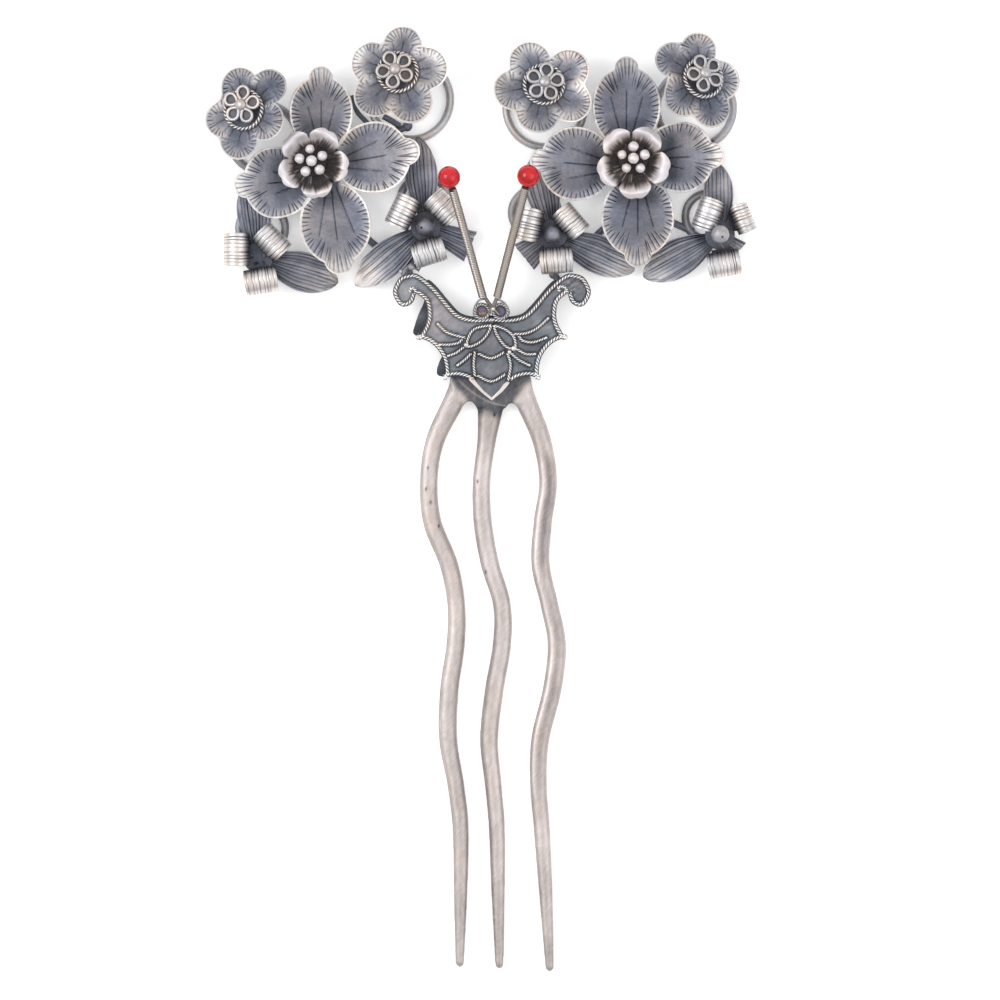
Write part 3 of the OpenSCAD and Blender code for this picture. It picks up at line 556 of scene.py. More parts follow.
def fork_wear_and_shade(x, y, z, sideways, upward):
    """How worn a spot of the fork is, with painted shade and painted highlights added, and how deep
    a pit it lies in.
    """
    # Painted shadow: the root between the prongs is painted dark below the butterfly, less so on
    # the back.
    left = -2.6 - 0.8 * (y - 16.1)
    right = 5.2 + 0.7 * (y - 15.7)
    uneven = 0.5 * rough(x, y, 2, 1.5)
    shadow = step(-0.6, 0.8, x - left + uneven) * step(-0.6, 0.8, right - x + uneven)
    shadow *= step(12.4, 14.4, y + uneven)
    pit = max(bell(x - px, 0.13) * bell(y - py, 0.28) for px, py in PRONG_PITS)
    pit *= step(1, 1.6, z)
    nearest = min((abs(x - line.get(round(2 * y), 99)), k) for k, line in enumerate(prong_at))[1]
    off = x - prong_at[nearest].get(round(2 * y), x)
    band = 0.0
    # The bands darken the right prong down its middle. Along the edges they paint light: a painted
    # highlight line on the right prong's left bevel, and painted shade along the middle prong's
    # left edge and the left prong's right side.
    if nearest == 2:
        band = 0.21 * bell(off - 0.3, 0.6) * step(9, 5, y) * step(-14, -9, y)
        band += 0.11 * bell(off - 0.3, 0.7) * step(-14, -20, y) * step(-50, -40, y)
        band -= 0.12 * bell(off + 0.85, 0.16) * step(9, 5, y) * step(-50, -44, y)
    elif nearest == 1:
        band = 0.1 * step(5, 13, y) + 0.1 * bell(off + 0.9, 0.4) * step(-16, -24, y)
    else:
        band = 0.08 * bell(off - 0.9, 0.4) + 0.04 * step(9, 14, y)
    cloud = 0.07 * rough(x, y * 0.35, 7, 2.5) + 0.05 * rough(x * 2, y * 0.5, 3, 1)
    # Painted shade: the prongs' steep sides are painted darker, and those facing left the most.
    painted_flank_shade = (0.2 - 0.12 * sideways) * step(0.6, 0.15, upward)
    painted_flank_shade *= 1 + 0.4 * rough(x, y * 0.3, 3, 2)
    scratch = bell(y - 16 + 0.54 * x - 0.059 * x * x, 0.13)
    scratch *= step(4.2, 3.6, abs(x)) * step(2, 2.3, z)
    shadow *= 0.5 + 0.5 * step(0.5, 1.2, z)
    band *= step(15.5, 13, y)
    rubbed = 0.55 - 0.33 * shadow - 0.45 * pit - band - painted_flank_shade + cloud + 0.22 * scratch
    return rubbed - 0.06 * step(-50, -74, y), pit


wear_layer = fork_mesh.verts.layers.float["wear"]
fork_mesh.normal_update()
for v in fork_mesh.verts:
    v[wear_layer], sunk = fork_wear_and_shade(*v.co, v.normal.x, abs(v.normal.z))
    v.co.z -= 0.1 * sunk
finished("hair_fork", fork_mesh, bare_metal, ["fork"])

# %% [markdown]
# ## Big flower petals
# Each of the four petals is a sheet cut like a leaf with a round knob at its tip, dished, and
# chased: short strokes all round the rim, three long veins, and an edge that polishing has left
# bright. A round grid about the petal's middle follows the rim, so the strokes can be real grooves.

# %% Shape of a big petal
# tip x and y, direction, length, width, widest place from the tip, radius of the knob
PETALS_LEFT = [(-25.8, 69.2, 90, 15.5, 10.2, 7.2, 1.9), (-10, 55.8, 9.6, 16.5, 11.4, 7.2, 2.2),
               (-22.5, 35.8, -82.9, 18, 11.4, 8.1, 2.5), (-39.8, 49.9, 185.3, 14, 11.5, 6.5, 2.05)]
PETALS_RIGHT = [(23.05, 70.7, 90, 17, 11, 7.9, 1.85), (7.55, 54.2, 175, 16.5, 11.8, 7.05, 1.85),
                (38.67, 54.9, 2.6, 14.5, 11.3, 6.7, 2.15),
                (24.85, 36.9, -90, 16.8, 11.7, 8.1, 2.15)]
SHOULDER, OVAL_BACK, NECK = 1.6, 6.8, 1.6
PETAL_T = 0.45
BIG_Z, BIG_DISH_R, DISH_LOW = 3.4, 26, 5
BIG_LEFT, BIG_RIGHT = (-26.5, 53.7), (23.9, 53.8)


def petal_half(petal, d):
    length, width, widest, knob = petal[3:]
    if d < 0 or d > length:
        return -1
    half = math.sqrt(d * (2 * knob - d)) if d < 2 * knob else 0
    x = (widest - d) / (widest - SHOULDER) if d < widest else (d - widest) / OVAL_BACK
    if x < 1:
        half = max(half, width / 2 * math.sqrt(1 - x * x))
    return max(half, NECK) if d > widest else half


def rim_from(petal, middle, a):
    """Distance from the petal's middle to its rim in a direction, found by halving."""
    low, high = 0.0, 16.0
    for _ in range(22):
        mid = (low + high) / 2
        inside = abs(mid * math.sin(a)) <= petal_half(petal, petal[3] - middle - mid * math.cos(a))
        low, high = (mid, high) if inside else (low, mid)
    return low


# %% Chasing strokes
def stroke(s, d, pitch, reach, more, key):
    """A chased stroke at s along the rim and d inside it: its groove, and the burr beside it."""
    k = math.floor(s / pitch)
    lean = 0.3 * (scatter(5 * k + key) - 0.5) * d
    off = (s / pitch - k - 0.5 + 0.25 * (scatter(k + key) - 0.5)) * pitch + lean
    long = reach + more * scatter(3 * k + key)
    window = step(long, long * 0.75, d) * step(0.25, 0.4, d) * (0.6 + 0.4 * scatter(7 * k + key))
    return bell(off, 0.12) * window, bell(off - 0.22, 0.1) * window


# %% One big petal
def add_petal(bm, petal, columns=372, rings=30):
    tip_x, tip_y, way, length, width, widest, knob = petal
    middle = length - widest - 1
    foot = Vector((*round_spot(tip_x, tip_y, -length, rad(way)), BIG_Z))
    turn = Matrix.Rotation(rad(way), 3, "Z")
    rims = [rim_from(petal, middle, TURN * k / columns) for k in range(columns)]
    rims.append(rims[0])
    corners = [Vector(round_spot(0, 0, r, TURN * k / columns)) for k, r in enumerate(rims)]
    walked = [0.0]
    for a, b in zip(corners, corners[1:]):
        walked.append(walked[-1] + (b - a).length)
    pitch = walked[-1] / round(walked[-1] / 0.8)

    def place(u, v):
        k = round(u * columns)
        a = TURN * u
        inner = (1 - v) ** 1.25
        r = rims[k] * (1 - inner)
        d = rims[k] * inner
        x = middle + r * math.cos(a)
        y = r * math.sin(a)
        z = BIG_DISH_R - math.sqrt(BIG_DISH_R ** 2 - (x - DISH_LOW) ** 2 - y * y)
        to_tip = step(0.5, 0.95, math.cos(a))
        cut, burr = stroke(walked[k], d, pitch, 1.1 + 1.5 * to_tip, 1.0 + 0.6 * to_tip, tip_x)
        cut *= step(1, 4, x)
        burr *= step(1, 4, x)
        lip = step(0.45, 0.3, d) * (0.35 + 0.65 * step(0.0, 0.12, d))
        vein = 0.0
        for fan in (-15, 0, 15):
            off = y * math.cos(rad(fan)) - (x - 1) * math.sin(rad(fan))
            outer = length - 5.2 - abs(fan) * 0.07
            vein = max(vein, bell(off, 0.11) * step(3.5, 4.5, x) * step(outer, outer - 0.6, x))
        lump = rough(x + tip_x, y + tip_y, 1, 2.4)
        fine = rough(x * 3, y + tip_y, 4, 1.2)
        z += 0.08 * lip - 0.09 * cut + 0.03 * burr - 0.08 * vein + 0.06 * lump
        hidden = step(8.5, 5.5, x)
        knob_glow = step(length - 4.5, length - 1, x)
        patch = rough(x + tip_x, y + tip_y, 60, 5)
        body_light, rim_light = (0.45, 0.31) if tip_x < 0 else (0.41, 0.22)
        rubbed = body_light + 0.05 * lump + 0.04 * fine + 0.08 * patch + 0.18 * step(2.0, 0.4, d)
        rubbed += (rim_light + 0.2 * rough(x * 2, y * 2, tip_x, 2)) * lip
        rubbed += 0.28 * knob_glow * (1 - lip) - 0.14 * hidden * step(0.8, 2.5, d)
        rubbed += 0.14 * burr - 0.44 * cut - (0.18 + 0.14 * scatter(tip_x)) * vein
        at = foot + turn @ Vector((x, y, z + PETAL_T / 2))
        return at.x, at.y, at.z, rubbed

    dull_underside(bm, sheet(bm, columns, rings, place, straight_down(PETAL_T)))


# %% Both big flowers
HUB_R = 3.4
CUP_Z = BIG_Z + 1.65
GAP = 0.06


def add_disc(bm, x, y, low, high, radius, wear, sides=40, edge=0.1):
    add_slab(bm, [spot[:2] for spot in circle_of(x, y, radius, 0, sides)], low, high, wear, edge)


for side, spot, petals in (("left", BIG_LEFT, PETALS_LEFT), ("right", BIG_RIGHT, PETALS_RIGHT)):
    flower = new_mesh()
    for petal in petals:
        add_petal(flower, petal)
    add_disc(flower, *spot, BIG_Z - PETAL_T, CUP_Z + PETAL_T / 2 - GAP, HUB_R, 0.2)
    finished_as("big_flower_" + side, "chased", flower, dark_sheet)

# %% [markdown]
# ## Cup flowers and stamens
# In the middle of each big flower sits a smaller cup of five petals. Their wavy rims are rolled
# outwards and polished, and the dark bowl inside is cut into a fringe. A bunch of six small balls
# on stalks stands in it.

# %% The cup
CUP_DISH_R = 7
CUPS = {"left": ((-27.1, 53.7), 5.9, 63), "right": ((24.1, 53.8), 6.1, 58)}


def cup_edge(r, first, a):
    """Distance to the rim: five round lobes, each with a small dent in its middle."""
    lobe = r * 0.44
    best = r - lobe
    for k in range(5):
        off = rad(first + 72 * k) - a
        side = (r - lobe) * math.sin(off)
        if abs(side) < lobe and math.cos(off) > 0:
            best = max(best, (r - lobe) * math.cos(off) + math.sqrt(lobe ** 2 - side ** 2))
    off = (math.degrees(a) - first + 36) % 72 - 36
    return best - 0.28 * bell(off, 5.5)


def add_cup(bm, spot, r, first, shade_way, shade, columns=400, rings=44):
    low = CUP_Z + PETAL_T / 2

    def place(u, v):
        a = TURN * u
        edge = cup_edge(r, first, a)
        off = (math.degrees(a) - first + 36) % 72 - 36
        reach = edge * v
        bend = min(reach, 4.4)
        z = CUP_DISH_R - math.sqrt(CUP_DISH_R ** 2 - bend ** 2)
        past = max(0, reach - 4.4)
        z += past * 0.62 - 0.5 * past ** 2 * step(0, 1.2, past)
        z += 0.1 * math.sin(a * 10 + first) * step(3.8, 5, reach)
        slit = bell(abs(off) - 36, 2.6) * step(3.4, 4.4, reach)
        k = math.floor(a * 58 / TURN)
        tuft = bell((a * 58 / TURN - k - 0.5) * 0.5, 0.16)
        dark_to = 3.75 + shade * math.cos(a - rad(shade_way)) + 0.3 * rough(a * 2, 1, first, 1)
        dark_to += 0.9 * (scatter(k) - 0.5) * tuft
        bright = step(dark_to - 0.5, dark_to + 0.8, reach)
        spark = tuft * step(0.62, 0.9, scatter(k * 3 + 1)) * step(1.6, 2.1, reach)
        spark *= step(dark_to - 0.3, dark_to - 0.9, reach)
        z -= 0.08 * tuft * (1 - bright) + 0.3 * slit
        rubbed = 0.2 + 0.63 * bright + 0.34 * spark + 0.06 * rough(reach * 2, a * 6, 5, 1)
        rubbed -= 0.6 * slit + 0.1 * bell(edge - reach, 0.1)
        return *round_spot(*spot, reach, a), low + z, rubbed

    sheet(bm, columns, rings, place, straight_down(PETAL_T))


CUP_SHADE = {"left": (-45, 0.65), "right": (200, 0.15)}

for side, (spot, r, first) in CUPS.items():
    cup = new_mesh()
    add_cup(cup, spot, r, first, *CUP_SHADE[side])
    finished_as("cup_flower_" + side, "rolled", cup, cup_sheet)

# %% The stamens
STAMENS = {"left": ((-27.3, 53.9), 97), "right": ((24.1, 54.3), 90)}
STAMEN_RING_R = 1.9
STAMEN_Z = CUP_Z + 3.1

for side, (spot, first) in STAMENS.items():
    bunch = new_mesh()
    cup_spot = CUPS[side][0]
    base_r = STAMEN_RING_R + 0.5
    reach = base_r + math.dist(spot, cup_spot)
    low = CUP_Z + CUP_DISH_R - math.sqrt((CUP_DISH_R - PETAL_T / 2) ** 2 - reach ** 2) + GAP
    add_disc(bunch, *spot, low, low + 0.5, base_r, 0.1)
    wire(bunch, even([(*spot, low), (*spot, STAMEN_Z)], 0.5), 0.5, wear=0.3)
    bead_of(bunch, (*spot, STAMEN_Z + 0.5), 0.88, 0.9, lumps=0.08, lump_size=0.6)
    for k in range(5):
        x, y = round_spot(*spot, STAMEN_RING_R, rad(first + 72 * k))
        wire(bunch, even([(x, y, low + 0.1), (x, y, STAMEN_Z)], 0.5), 0.4, wear=0.25)
        ball_r = 0.72 + 0.12 * scatter(k + first)
        bead_of(bunch, (x, y, STAMEN_Z), ball_r, 0.88, lumps=0.09, lump_size=0.6)
    finished_as("stamens_" + side, "balls", bunch, cup_sheet, 0.0005)

# %% [markdown]
# ## Small flowers
# Four smaller flowers of five round lobes lean outwards on their posts. They are chased like the
# big ones. Round the middle lies a ring of two twisted wires, and above it stands a rosette: five
# loops of wire with a flattened ball soldered on.

# %% Places and lobes of the small flowers
# x, y, height, direction of the lean, lean, rosette x and y, first loop, and the lobes as
# direction, distance and radius, with the broad middle last
SMALL = {
    "left_outer": (-37.85, 62.1, 5.2, 170, 20, -38.45, 62.9, 10,
                   ((101, 4.05, 3), (43, 5.5, 2.8), (-30, 3.5, 3.35), (259, 5.3, 2.95),
                    (205, 3.85, 3), (155, 0.5, 4.1))),
    "left_inner": (-13.5, 68.05, 4.4, 120, 8, -13.95, 68.55, 44,
                   ((80, 4.45, 3.2), (8, 4.75, 3.5), (-66, 5.3, 3.5), (226, 5.4, 3.4),
                    (161, 4.45, 3.5), (0, 0, 4.2))),
    "right_inner": (9.75, 66.1, 4.4, 60, 8, 9.95, 66.55, 10,
                    ((122, 4.25, 3.45), (31, 4.8, 3.35), (-32, 5.4, 3.25), (258, 4.3, 3.7),
                     (190, 5.05, 3.2), (0, 0, 4.2))),
    "right_outer": (34.95, 67.05, 5.4, 30, 22, 35.5, 67.9, 42,
                    ((97, 4.6, 2.95), (-8, 2.8, 3.4), (-73, 5.3, 3), (227, 4.25, 3.25),
                     (148, 5.7, 2.8), (178, 1.3, 4.3)))}
SMALL_DISH_R = 15
NOTCH_DEPTH = 9


def lobe_at(lobes, a):
    """The rim's distance in a direction, and the lobe it belongs to."""
    reach = []
    for way, far, radius in lobes:
        side = far * math.sin(a - rad(way))
        inside = max(0.0, radius ** 2 - side ** 2)
        reach.append(max(0.0, far * math.cos(a - rad(way)) + math.sqrt(inside)) if inside else 0.0)
    edge = sum(r ** NOTCH_DEPTH for r in reach) ** (1 / NOTCH_DEPTH)
    return edge, max(range(5), key=lambda k: reach[k])


# %% One small flower
def lean_of(flower):
    x, y, z, way, lean = flower[:5]
    return (Matrix.Translation((x, y, z)) @ Matrix.Rotation(rad(way), 4, "Z")
            @ Matrix.Rotation(rad(lean), 4, "Y") @ Matrix.Rotation(rad(-way), 4, "Z"))


def add_small_flower(bm, flower, columns=420, rings=34):
    x0, y0, z0 = flower[:3]
    lobes = flower[8]
    up = lean_of(flower).to_3x3() @ UP
    ball = Vector((x0, y0, z0)) + up * SMALL_DISH_R
    field = 0.34 if abs(x0) > 25 else 0.4
    borders = []
    before = lobe_at(lobes, 0)[1]
    for k in range(1, 721):
        now = lobe_at(lobes, TURN * k / 720)[1]
        if now != before:
            borders.append(TURN * (k - 0.5) / 720)
        before = now

    def place(u, v):
        a = TURN * u
        edge, which = lobe_at(lobes, a)
        inner = (1 - v) ** 1.2
        r = edge * (1 - inner)
        x, y = round_spot(x0, y0, r, a)
        lobe_way, far, radius = lobes[which]
        cx, cy = round_spot(x0, y0, far, rad(lobe_way))
        from_middle = math.hypot(x - cx, y - cy)
        d = edge - r
        around = math.atan2(y - cy, x - cx) - rad(lobe_way)
        around = (around + math.pi) % TURN - math.pi
        near_edge = max(d * 0.75, min(d, max(0.0, radius - from_middle)))
        cut, burr = stroke(around * radius + 40, near_edge, 0.74, 1.1, 1.2, which * 7 + x0)
        lip = step(0.42, 0.28, d) * (0.35 + 0.65 * step(0.0, 0.12, d))
        ridge = max(bell((a - b + math.pi) % TURN - math.pi, 0.75 / max(r, 1)) for b in borders)
        ridge *= step(2.8, 4.4, r)
        line = 0.0
        for fan in (-20, 0, 20):
            off = ((math.degrees(a) - lobe_way - fan + 180) % 360 - 180) * rad(1) * r
            line = max(line, bell(off, 0.12) * step(3.2, 3.4, r) * step(5.4, 5.0, r))
        lump = rough(x, y, 3, 2)
        fine = rough(x * 2, y * 2, 8, 0.8)
        deep = ball.z - math.sqrt(SMALL_DISH_R ** 2 - (x - ball.x) ** 2 - (y - ball.y) ** 2)
        p = Vector((x, y, deep))
        rise = PETAL_T / 2 + 0.1 * lip - 0.1 * cut + 0.03 * burr - 0.05 * line
        rise += 0.08 * ridge * (1 - lip)
        p += (ball - p).normalized() * (rise + 0.06 * lump)
        worn = step(3.0, 0.3, near_edge) * (1 + 0.7 * rough(x, y, 30 + which, 4))
        rubbed = field + 0.08 * lump + 0.07 * fine + 0.33 * worn + 0.16 * lip + 0.05 * ridge
        rubbed += 0.17 * burr - 0.48 * cut - 0.17 * line
        return p.x, p.y, p.z, rubbed

    dull_underside(bm, sheet(bm, columns, rings, place, straight_down(PETAL_T)))


for name, flower in SMALL.items():
    small = new_mesh()
    add_small_flower(small, flower)
    finished_as("small_flower_" + name, "chased", small, dark_sheet)

# %% The twisted rings
RING_R, RING_WIRE_R = 3.1, 0.36

for name, flower in SMALL.items():
    ring = new_mesh()
    lift = SMALL_DISH_R - math.sqrt(SMALL_DISH_R ** 2 - RING_R ** 2) + PETAL_T / 2 + GAP
    circle = circle_of(0, 0, RING_R, lift + RING_WIRE_R, 72)
    twisted(ring, circle, RING_WIRE_R / 2, 1.3, loop=True, points=14, wear=0.78)
    bmesh.ops.transform(ring, matrix=lean_of(flower), verts=ring.verts)
    finished_as("twisted_ring_" + name, "wound", ring, bright_sheet, 0.0005)

# %% The rosettes
ROSETTE_LIFT, LOOP_RING_R, LOOP_R, LOOP_WIRE = 1.7, 2.0, 1.15, 0.42


def rosette_spot(flower):
    """Where the rosette sits in its flower's leaning plane."""
    x, y, z, way, lean, seen_x, seen_y = flower[:7]
    lean_way = Vector((math.cos(rad(way)), math.sin(rad(way))))
    seen = Vector((seen_x - x, seen_y - y))
    along = seen.dot(lean_way)
    flat = (along - ROSETTE_LIFT * math.sin(rad(lean))) / math.cos(rad(lean))
    return seen + lean_way * (flat - along)


def teardrop(way, aside):
    """The middle line of one loop: a drop with its point towards the rosette's middle."""
    points = []
    out = LOOP_R - LOOP_WIRE / 2
    for k in range(28):
        t = TURN * k / 28
        x = LOOP_RING_R + out * math.cos(t) * (1 if math.cos(t) > 0 else 1.25)
        y = out * math.sin(t) * (1.0 - 0.35 * max(0, -math.cos(t)) ** 1.5)
        a = rad(way)
        points.append((aside[0] + x * math.cos(a) - y * math.sin(a),
                       aside[1] + x * math.sin(a) + y * math.cos(a), ROSETTE_LIFT + 0.25))
    return points


for name, flower in SMALL.items():
    rosette = new_mesh()
    aside = rosette_spot(flower)
    for k in range(5):
        way = flower[7] + 72 * k
        wire(rosette, teardrop(way, aside), LOOP_WIRE / 2 * 1.25, 12, wear=0.62, loop=True,
             uneven=0.14)
        add_disc(rosette, *round_spot(*aside, LOOP_RING_R, rad(way)), ROSETTE_LIFT,
                 ROSETTE_LIFT + 0.1, LOOP_R - 0.2, 0.2, 24, 0.03)
    bead_of(rosette, (*aside, ROSETTE_LIFT + 0.45), 0.95, 0.6, squash=0.72, lumps=0.04,
            lump_size=0.8)
    add_disc(rosette, *aside, ROSETTE_LIFT - 0.05, ROSETTE_LIFT + 0.4, 1.15, 0.4)
    wire(rosette, even([(0, 0, PETAL_T / 2 + 0.28), (*aside, ROSETTE_LIFT + 0.3)], 0.3), 0.5,
         wear=0.3)
    bmesh.ops.transform(rosette, matrix=lean_of(flower), verts=rosette.verts)
    finished_as("rosette_" + name, "loops", rosette, bright_sheet, 0.0005)

# %% [markdown]
# ## Sprays of leaves and ribbons
# Below the flowers hang four sprays. The leaves are thin plates, arched and grooved along their
# length. The long ones are pointed, and the short ones end in a broad torn edge. The ribbons are
# grooved strips rolled up at the end, bright outside and black inside, and three of the sprays
# carry a ball.

# %% Places of the sprays
# middle; ball radius and height; leaves as direction, length, width, and True for a blunt one;
# ribbons as x, y, direction of the roll's axis, tail, and shares of width and of roll radius
SPRAYS = {
    "left_outer": ((-35.9, 38.5), (0, 0), ((95, 13, 5.6), (-17, 13.4, 6.4)),
                   ((-33.7, 41, -45, 1.8, 1, 1), (-39.3, 39.8, 90, 2.1, 1, 1),
                    (-35.4, 34.8, 10, 2.2, 1, 1))),
    "left_inner": ((-9.1, 43.5), (1.5, 1.5),
                   ((95, 14.5, 5.3), (-140, 14.7, 5.8), (-24, 8, 5.3, True)),
                   ((-12.75, 45.85, 64, 1.6, 1, 1), (-6.3, 46.5, 135, 1.5, 1, 1),
                    (-8.6, 39.4, 17, 2.3, 1, 1))),
    "right_inner": ((11.2, 42.3), (1.45, 1.5),
                    ((103, 13, 5.5), (-24, 14.4, 6.2), (-141, 6.05, 5.3, True)),
                    ((7.4, 43.8, 78, 2.2, 1, 1), (14.05, 44.3, -49, 1.8, 1, 0.95),
                     (11.8, 38.05, 5, 2.2, 1, 1))),
    "right_outer": ((38, 42.2), (1.45, 4.3), ((92, 11.5, 4.8), (-151, 14, 6.2),
                                            (-41, 4.2, 3.6, True)),
                    ((36.1, 45.4, 70, 1.4, 1, 1), (41.6, 44.8, -68, 2.1, 0.9, 0.76),
                     (38.6, 37.5, 10, 2.5, 1, 1)))}
WIRE_R = 0.65
SPRAY_Z = 2 * WIRE_R + 0.12
STRIP_T = 0.45
LEAF_ARCH_R, LEAF_LIFT, LEAF_FOOT = 38, 0.7, 1.1
SPRAY_HUB_R, SPRAY_HUB_H = 2.4, 1.15
RIBBON_Z = SPRAY_Z + SPRAY_HUB_H + GAP
RIBBON_W, ROLL_R, ROLL_TURN = 5.4, 2.1, 285


# %% A leaf
# how light polishing has left the tips of long leaves, by their directions
LIGHT_TIPS = {-140: 0.46, -24: 0.28, -151: 0.2}


def add_leaf(bm, middle, way, length, width, key, blunt=False):
    turn = Matrix.Rotation(rad(way), 3, "Z")
    count = round(width * 1.7)
    lines = [((2 * k + 1 + 0.7 * (scatter(k + way + 50) - 0.5)) / count - 1,
              0.5 + 0.5 * scatter(k * 5 + way + 60)) for k in range(count)]
    light_tip = 0.06 if blunt else LIGHT_TIPS.get(way, 0.14)

    def place(u, v):
        s = u ** 0.95
        across = 2 * v - 1
        if blunt:
            torn = 0.18 * step(0.5, 1, s) * (1 + rough(across * 4, way, 2, 1))
            half = width / 2 * (0.35 + 0.65 * s ** 0.8)
        else:
            torn = 0.0
            half = width / 2 * max(0, math.sin(math.pi * s ** 1.27)) ** 0.63
        if s < 0.4:
            half = max(half, LEAF_FOOT)
        x, y = length * s - torn, half * across
        z = STRIP_T + LEAF_LIFT - (LEAF_ARCH_R
                                   - math.sqrt(LEAF_ARCH_R ** 2 - (x - length / 2) ** 2 - y * y))
        body = step(0.06, 0.25, s)
        cut = 0.0
        band = 0
        fan = half if blunt or s < 0.58 else width / 2
        for k, (spot, depth) in enumerate(lines):
            off = y - (spot + 0.03 * rough(x, k, way, 3)) * fan
            cut = max(cut, bell(off, 0.1) * depth)
            band += 1 if off > 0 else 0
        cut *= body * (0.75 + 0.25 * rough(x, band, key, 1.5))
        if not blunt:
            cut *= step(0.97, 0.86, s)
        hair = rough(x * 0.1, across * 22 + key, way, 0.5)
        lip = step(0.9, 0.98, abs(across)) * body
        z += 0.05 * hair * body + 0.04 * lip - 0.09 * cut
        rubbed = 0.42 + 0.1 * scatter(band * 3 + way + 200) + 0.07 * hair + 0.1 * lip
        rubbed += light_tip * step(0.4, 0.95, s) * (0.7 + 0.6 * scatter(band + way + 100))
        rubbed += 0.1 * rough(x, y, key, 2.2) - 0.46 * cut - 0.12 * step(0.3, 0.1, s)
        at = turn @ Vector((x, y, z))
        return middle[0] + at.x, middle[1] + at.y, SPRAY_Z + at.z, rubbed

    sheet(bm, 48, 72, place, straight_down(STRIP_T))


for name, (middle, ball, leaf_list, ribbons) in SPRAYS.items():
    leaves = new_mesh()
    for k, (way, length, width, *blunt) in enumerate(leaf_list):
        add_leaf(leaves, middle, way, length, width, k, bool(blunt))
    add_disc(leaves, *middle, SPRAY_Z, SPRAY_Z + SPRAY_HUB_H, SPRAY_HUB_R, 0.3)
    for k in range(5):
        a = rad(72 * k + 40 * scatter(k + middle[0]))
        at = (*round_spot(*middle, 1.1, a), RIBBON_Z - 0.35)
        bead_of(leaves, at, 0.55 + 0.3 * scatter(k + middle[1]), 0.32, squash=0.55, lumps=0.2,
                lump_size=0.8)
    finished_as("leaves_" + name, "grooved", leaves, dark_sheet)


# %% A rolled ribbon
def ribbon_line(tail, outer_r):
    r = outer_r - STRIP_T / 2
    line = [Vector((-tail, -r, 0)), Vector((-tail / 2, -r, 0))]
    for k in range(0, ROLL_TURN + 1, 7):
        line.append(Vector((r * math.sin(rad(k)), -r * math.cos(rad(k)), 0)))
    return line


def add_ribbon(bm, middle, ribbon, along=50, across=92):
    x0, y0, axis_way, tail, width_share, roll_share = ribbon
    outer_r = ROLL_R * roll_share
    width = RIBBON_W * width_share
    way = rad(axis_way - 90)
    outward = (x0 - middle[0]) * math.cos(way) + (y0 - middle[1]) * math.sin(way) > 0
    if not outward:
        way += math.pi
    line = even(ribbon_line(tail, outer_r), 12.0 / along)
    last = len(line) - 1
    marks = [((k + 0.9 + 0.6 * (scatter(k * 3 + x0) - 0.5)) / 8.8,
              0.45 + 0.55 * scatter(k * 7 + y0)) for k in range(8)]

    def place(u, v):
        i = round(u * last)
        s = i / last
        p = line[i]
        ahead = (line[min(i + 1, last)] - line[max(i - 1, 0)]).normalized()
        out = Vector((ahead.y, -ahead.x, 0))
        q = v - 0.5
        groove = 0.0
        for k, (spot, depth) in enumerate(marks):
            far = (v - spot - 0.012 * rough(s * 3, k, x0, 1)) * width
            depth *= 0.8 + 0.5 * rough(s * 4, k * 5, y0, 1)
            groove = max(groove, bell(far, 0.085) * depth)
        edge = step(0.46, 0.495, abs(q))
        ends = step(0.0, 0.04, s) * step(1.0, 0.97, s)
        crown = max(0, p.y) / outer_r
        p = p + out * (STRIP_T / 2 - 0.02 + (-0.09 * groove - 0.03 * edge) * ends)
        w = width * (0.62 + 0.38 * step(0, 0.25, s)) * (0.93 + 0.07 * crown ** 2)
        at_side = q * w
        rubbed = 0.77 - 0.6 * groove - 0.14 * edge + 0.1 * rough(s * 6, q * 9, x0, 1)
        rubbed += 0.09 * rough(s * 2, q * 40, x0, 1) - 0.5 * step(0.3, 0.08, s)
        rubbed -= 0.5 * step(0.74, 0.99, s + 0.05 * rough(q * 5, x0, 2, 1))
        x = p.x * math.cos(way) + at_side * math.sin(way)
        y = p.x * math.sin(way) - at_side * math.cos(way)
        return x0 + x, y0 + y, RIBBON_Z + outer_r + p.y, rubbed

    def inwards(spot):
        """From the outer face of the strip towards the roll's axis, or up on the flat tail."""
        x = (spot.x - x0) * math.cos(way) + (spot.y - y0) * math.sin(way)
        z = spot.z - RIBBON_Z - outer_r
        if x < 0 and z < -0.75 * outer_r:
            return Vector((0, 0, STRIP_T - 0.08))
        scale = (STRIP_T - 0.08) / math.hypot(x, z)
        return Vector((-x * math.cos(way), -x * math.sin(way), -z)) * scale

    wear = bm.verts.layers.float["wear"]
    for v in sheet(bm, last, across, place, inwards):
        v[wear] = 0.08


for name, (middle, ball, leaf_list, ribbons) in SPRAYS.items():
    for k, ribbon in enumerate(ribbons):
        strip = new_mesh()
        add_ribbon(strip, middle, ribbon)
        node = "ribbon_" + name + "_" + str(k + 1)
        finished_as(node, "rolled", strip, bright_sheet)

# %% The balls of the sprays
# where two of the balls have a small pit, from the middle of the ball
BALL_PITS = {"left_inner": (-0.69, -0.24), "right_outer": (0.29, -0.48)}
PIT_R, PIT_DEPTH = 0.15, 0.3

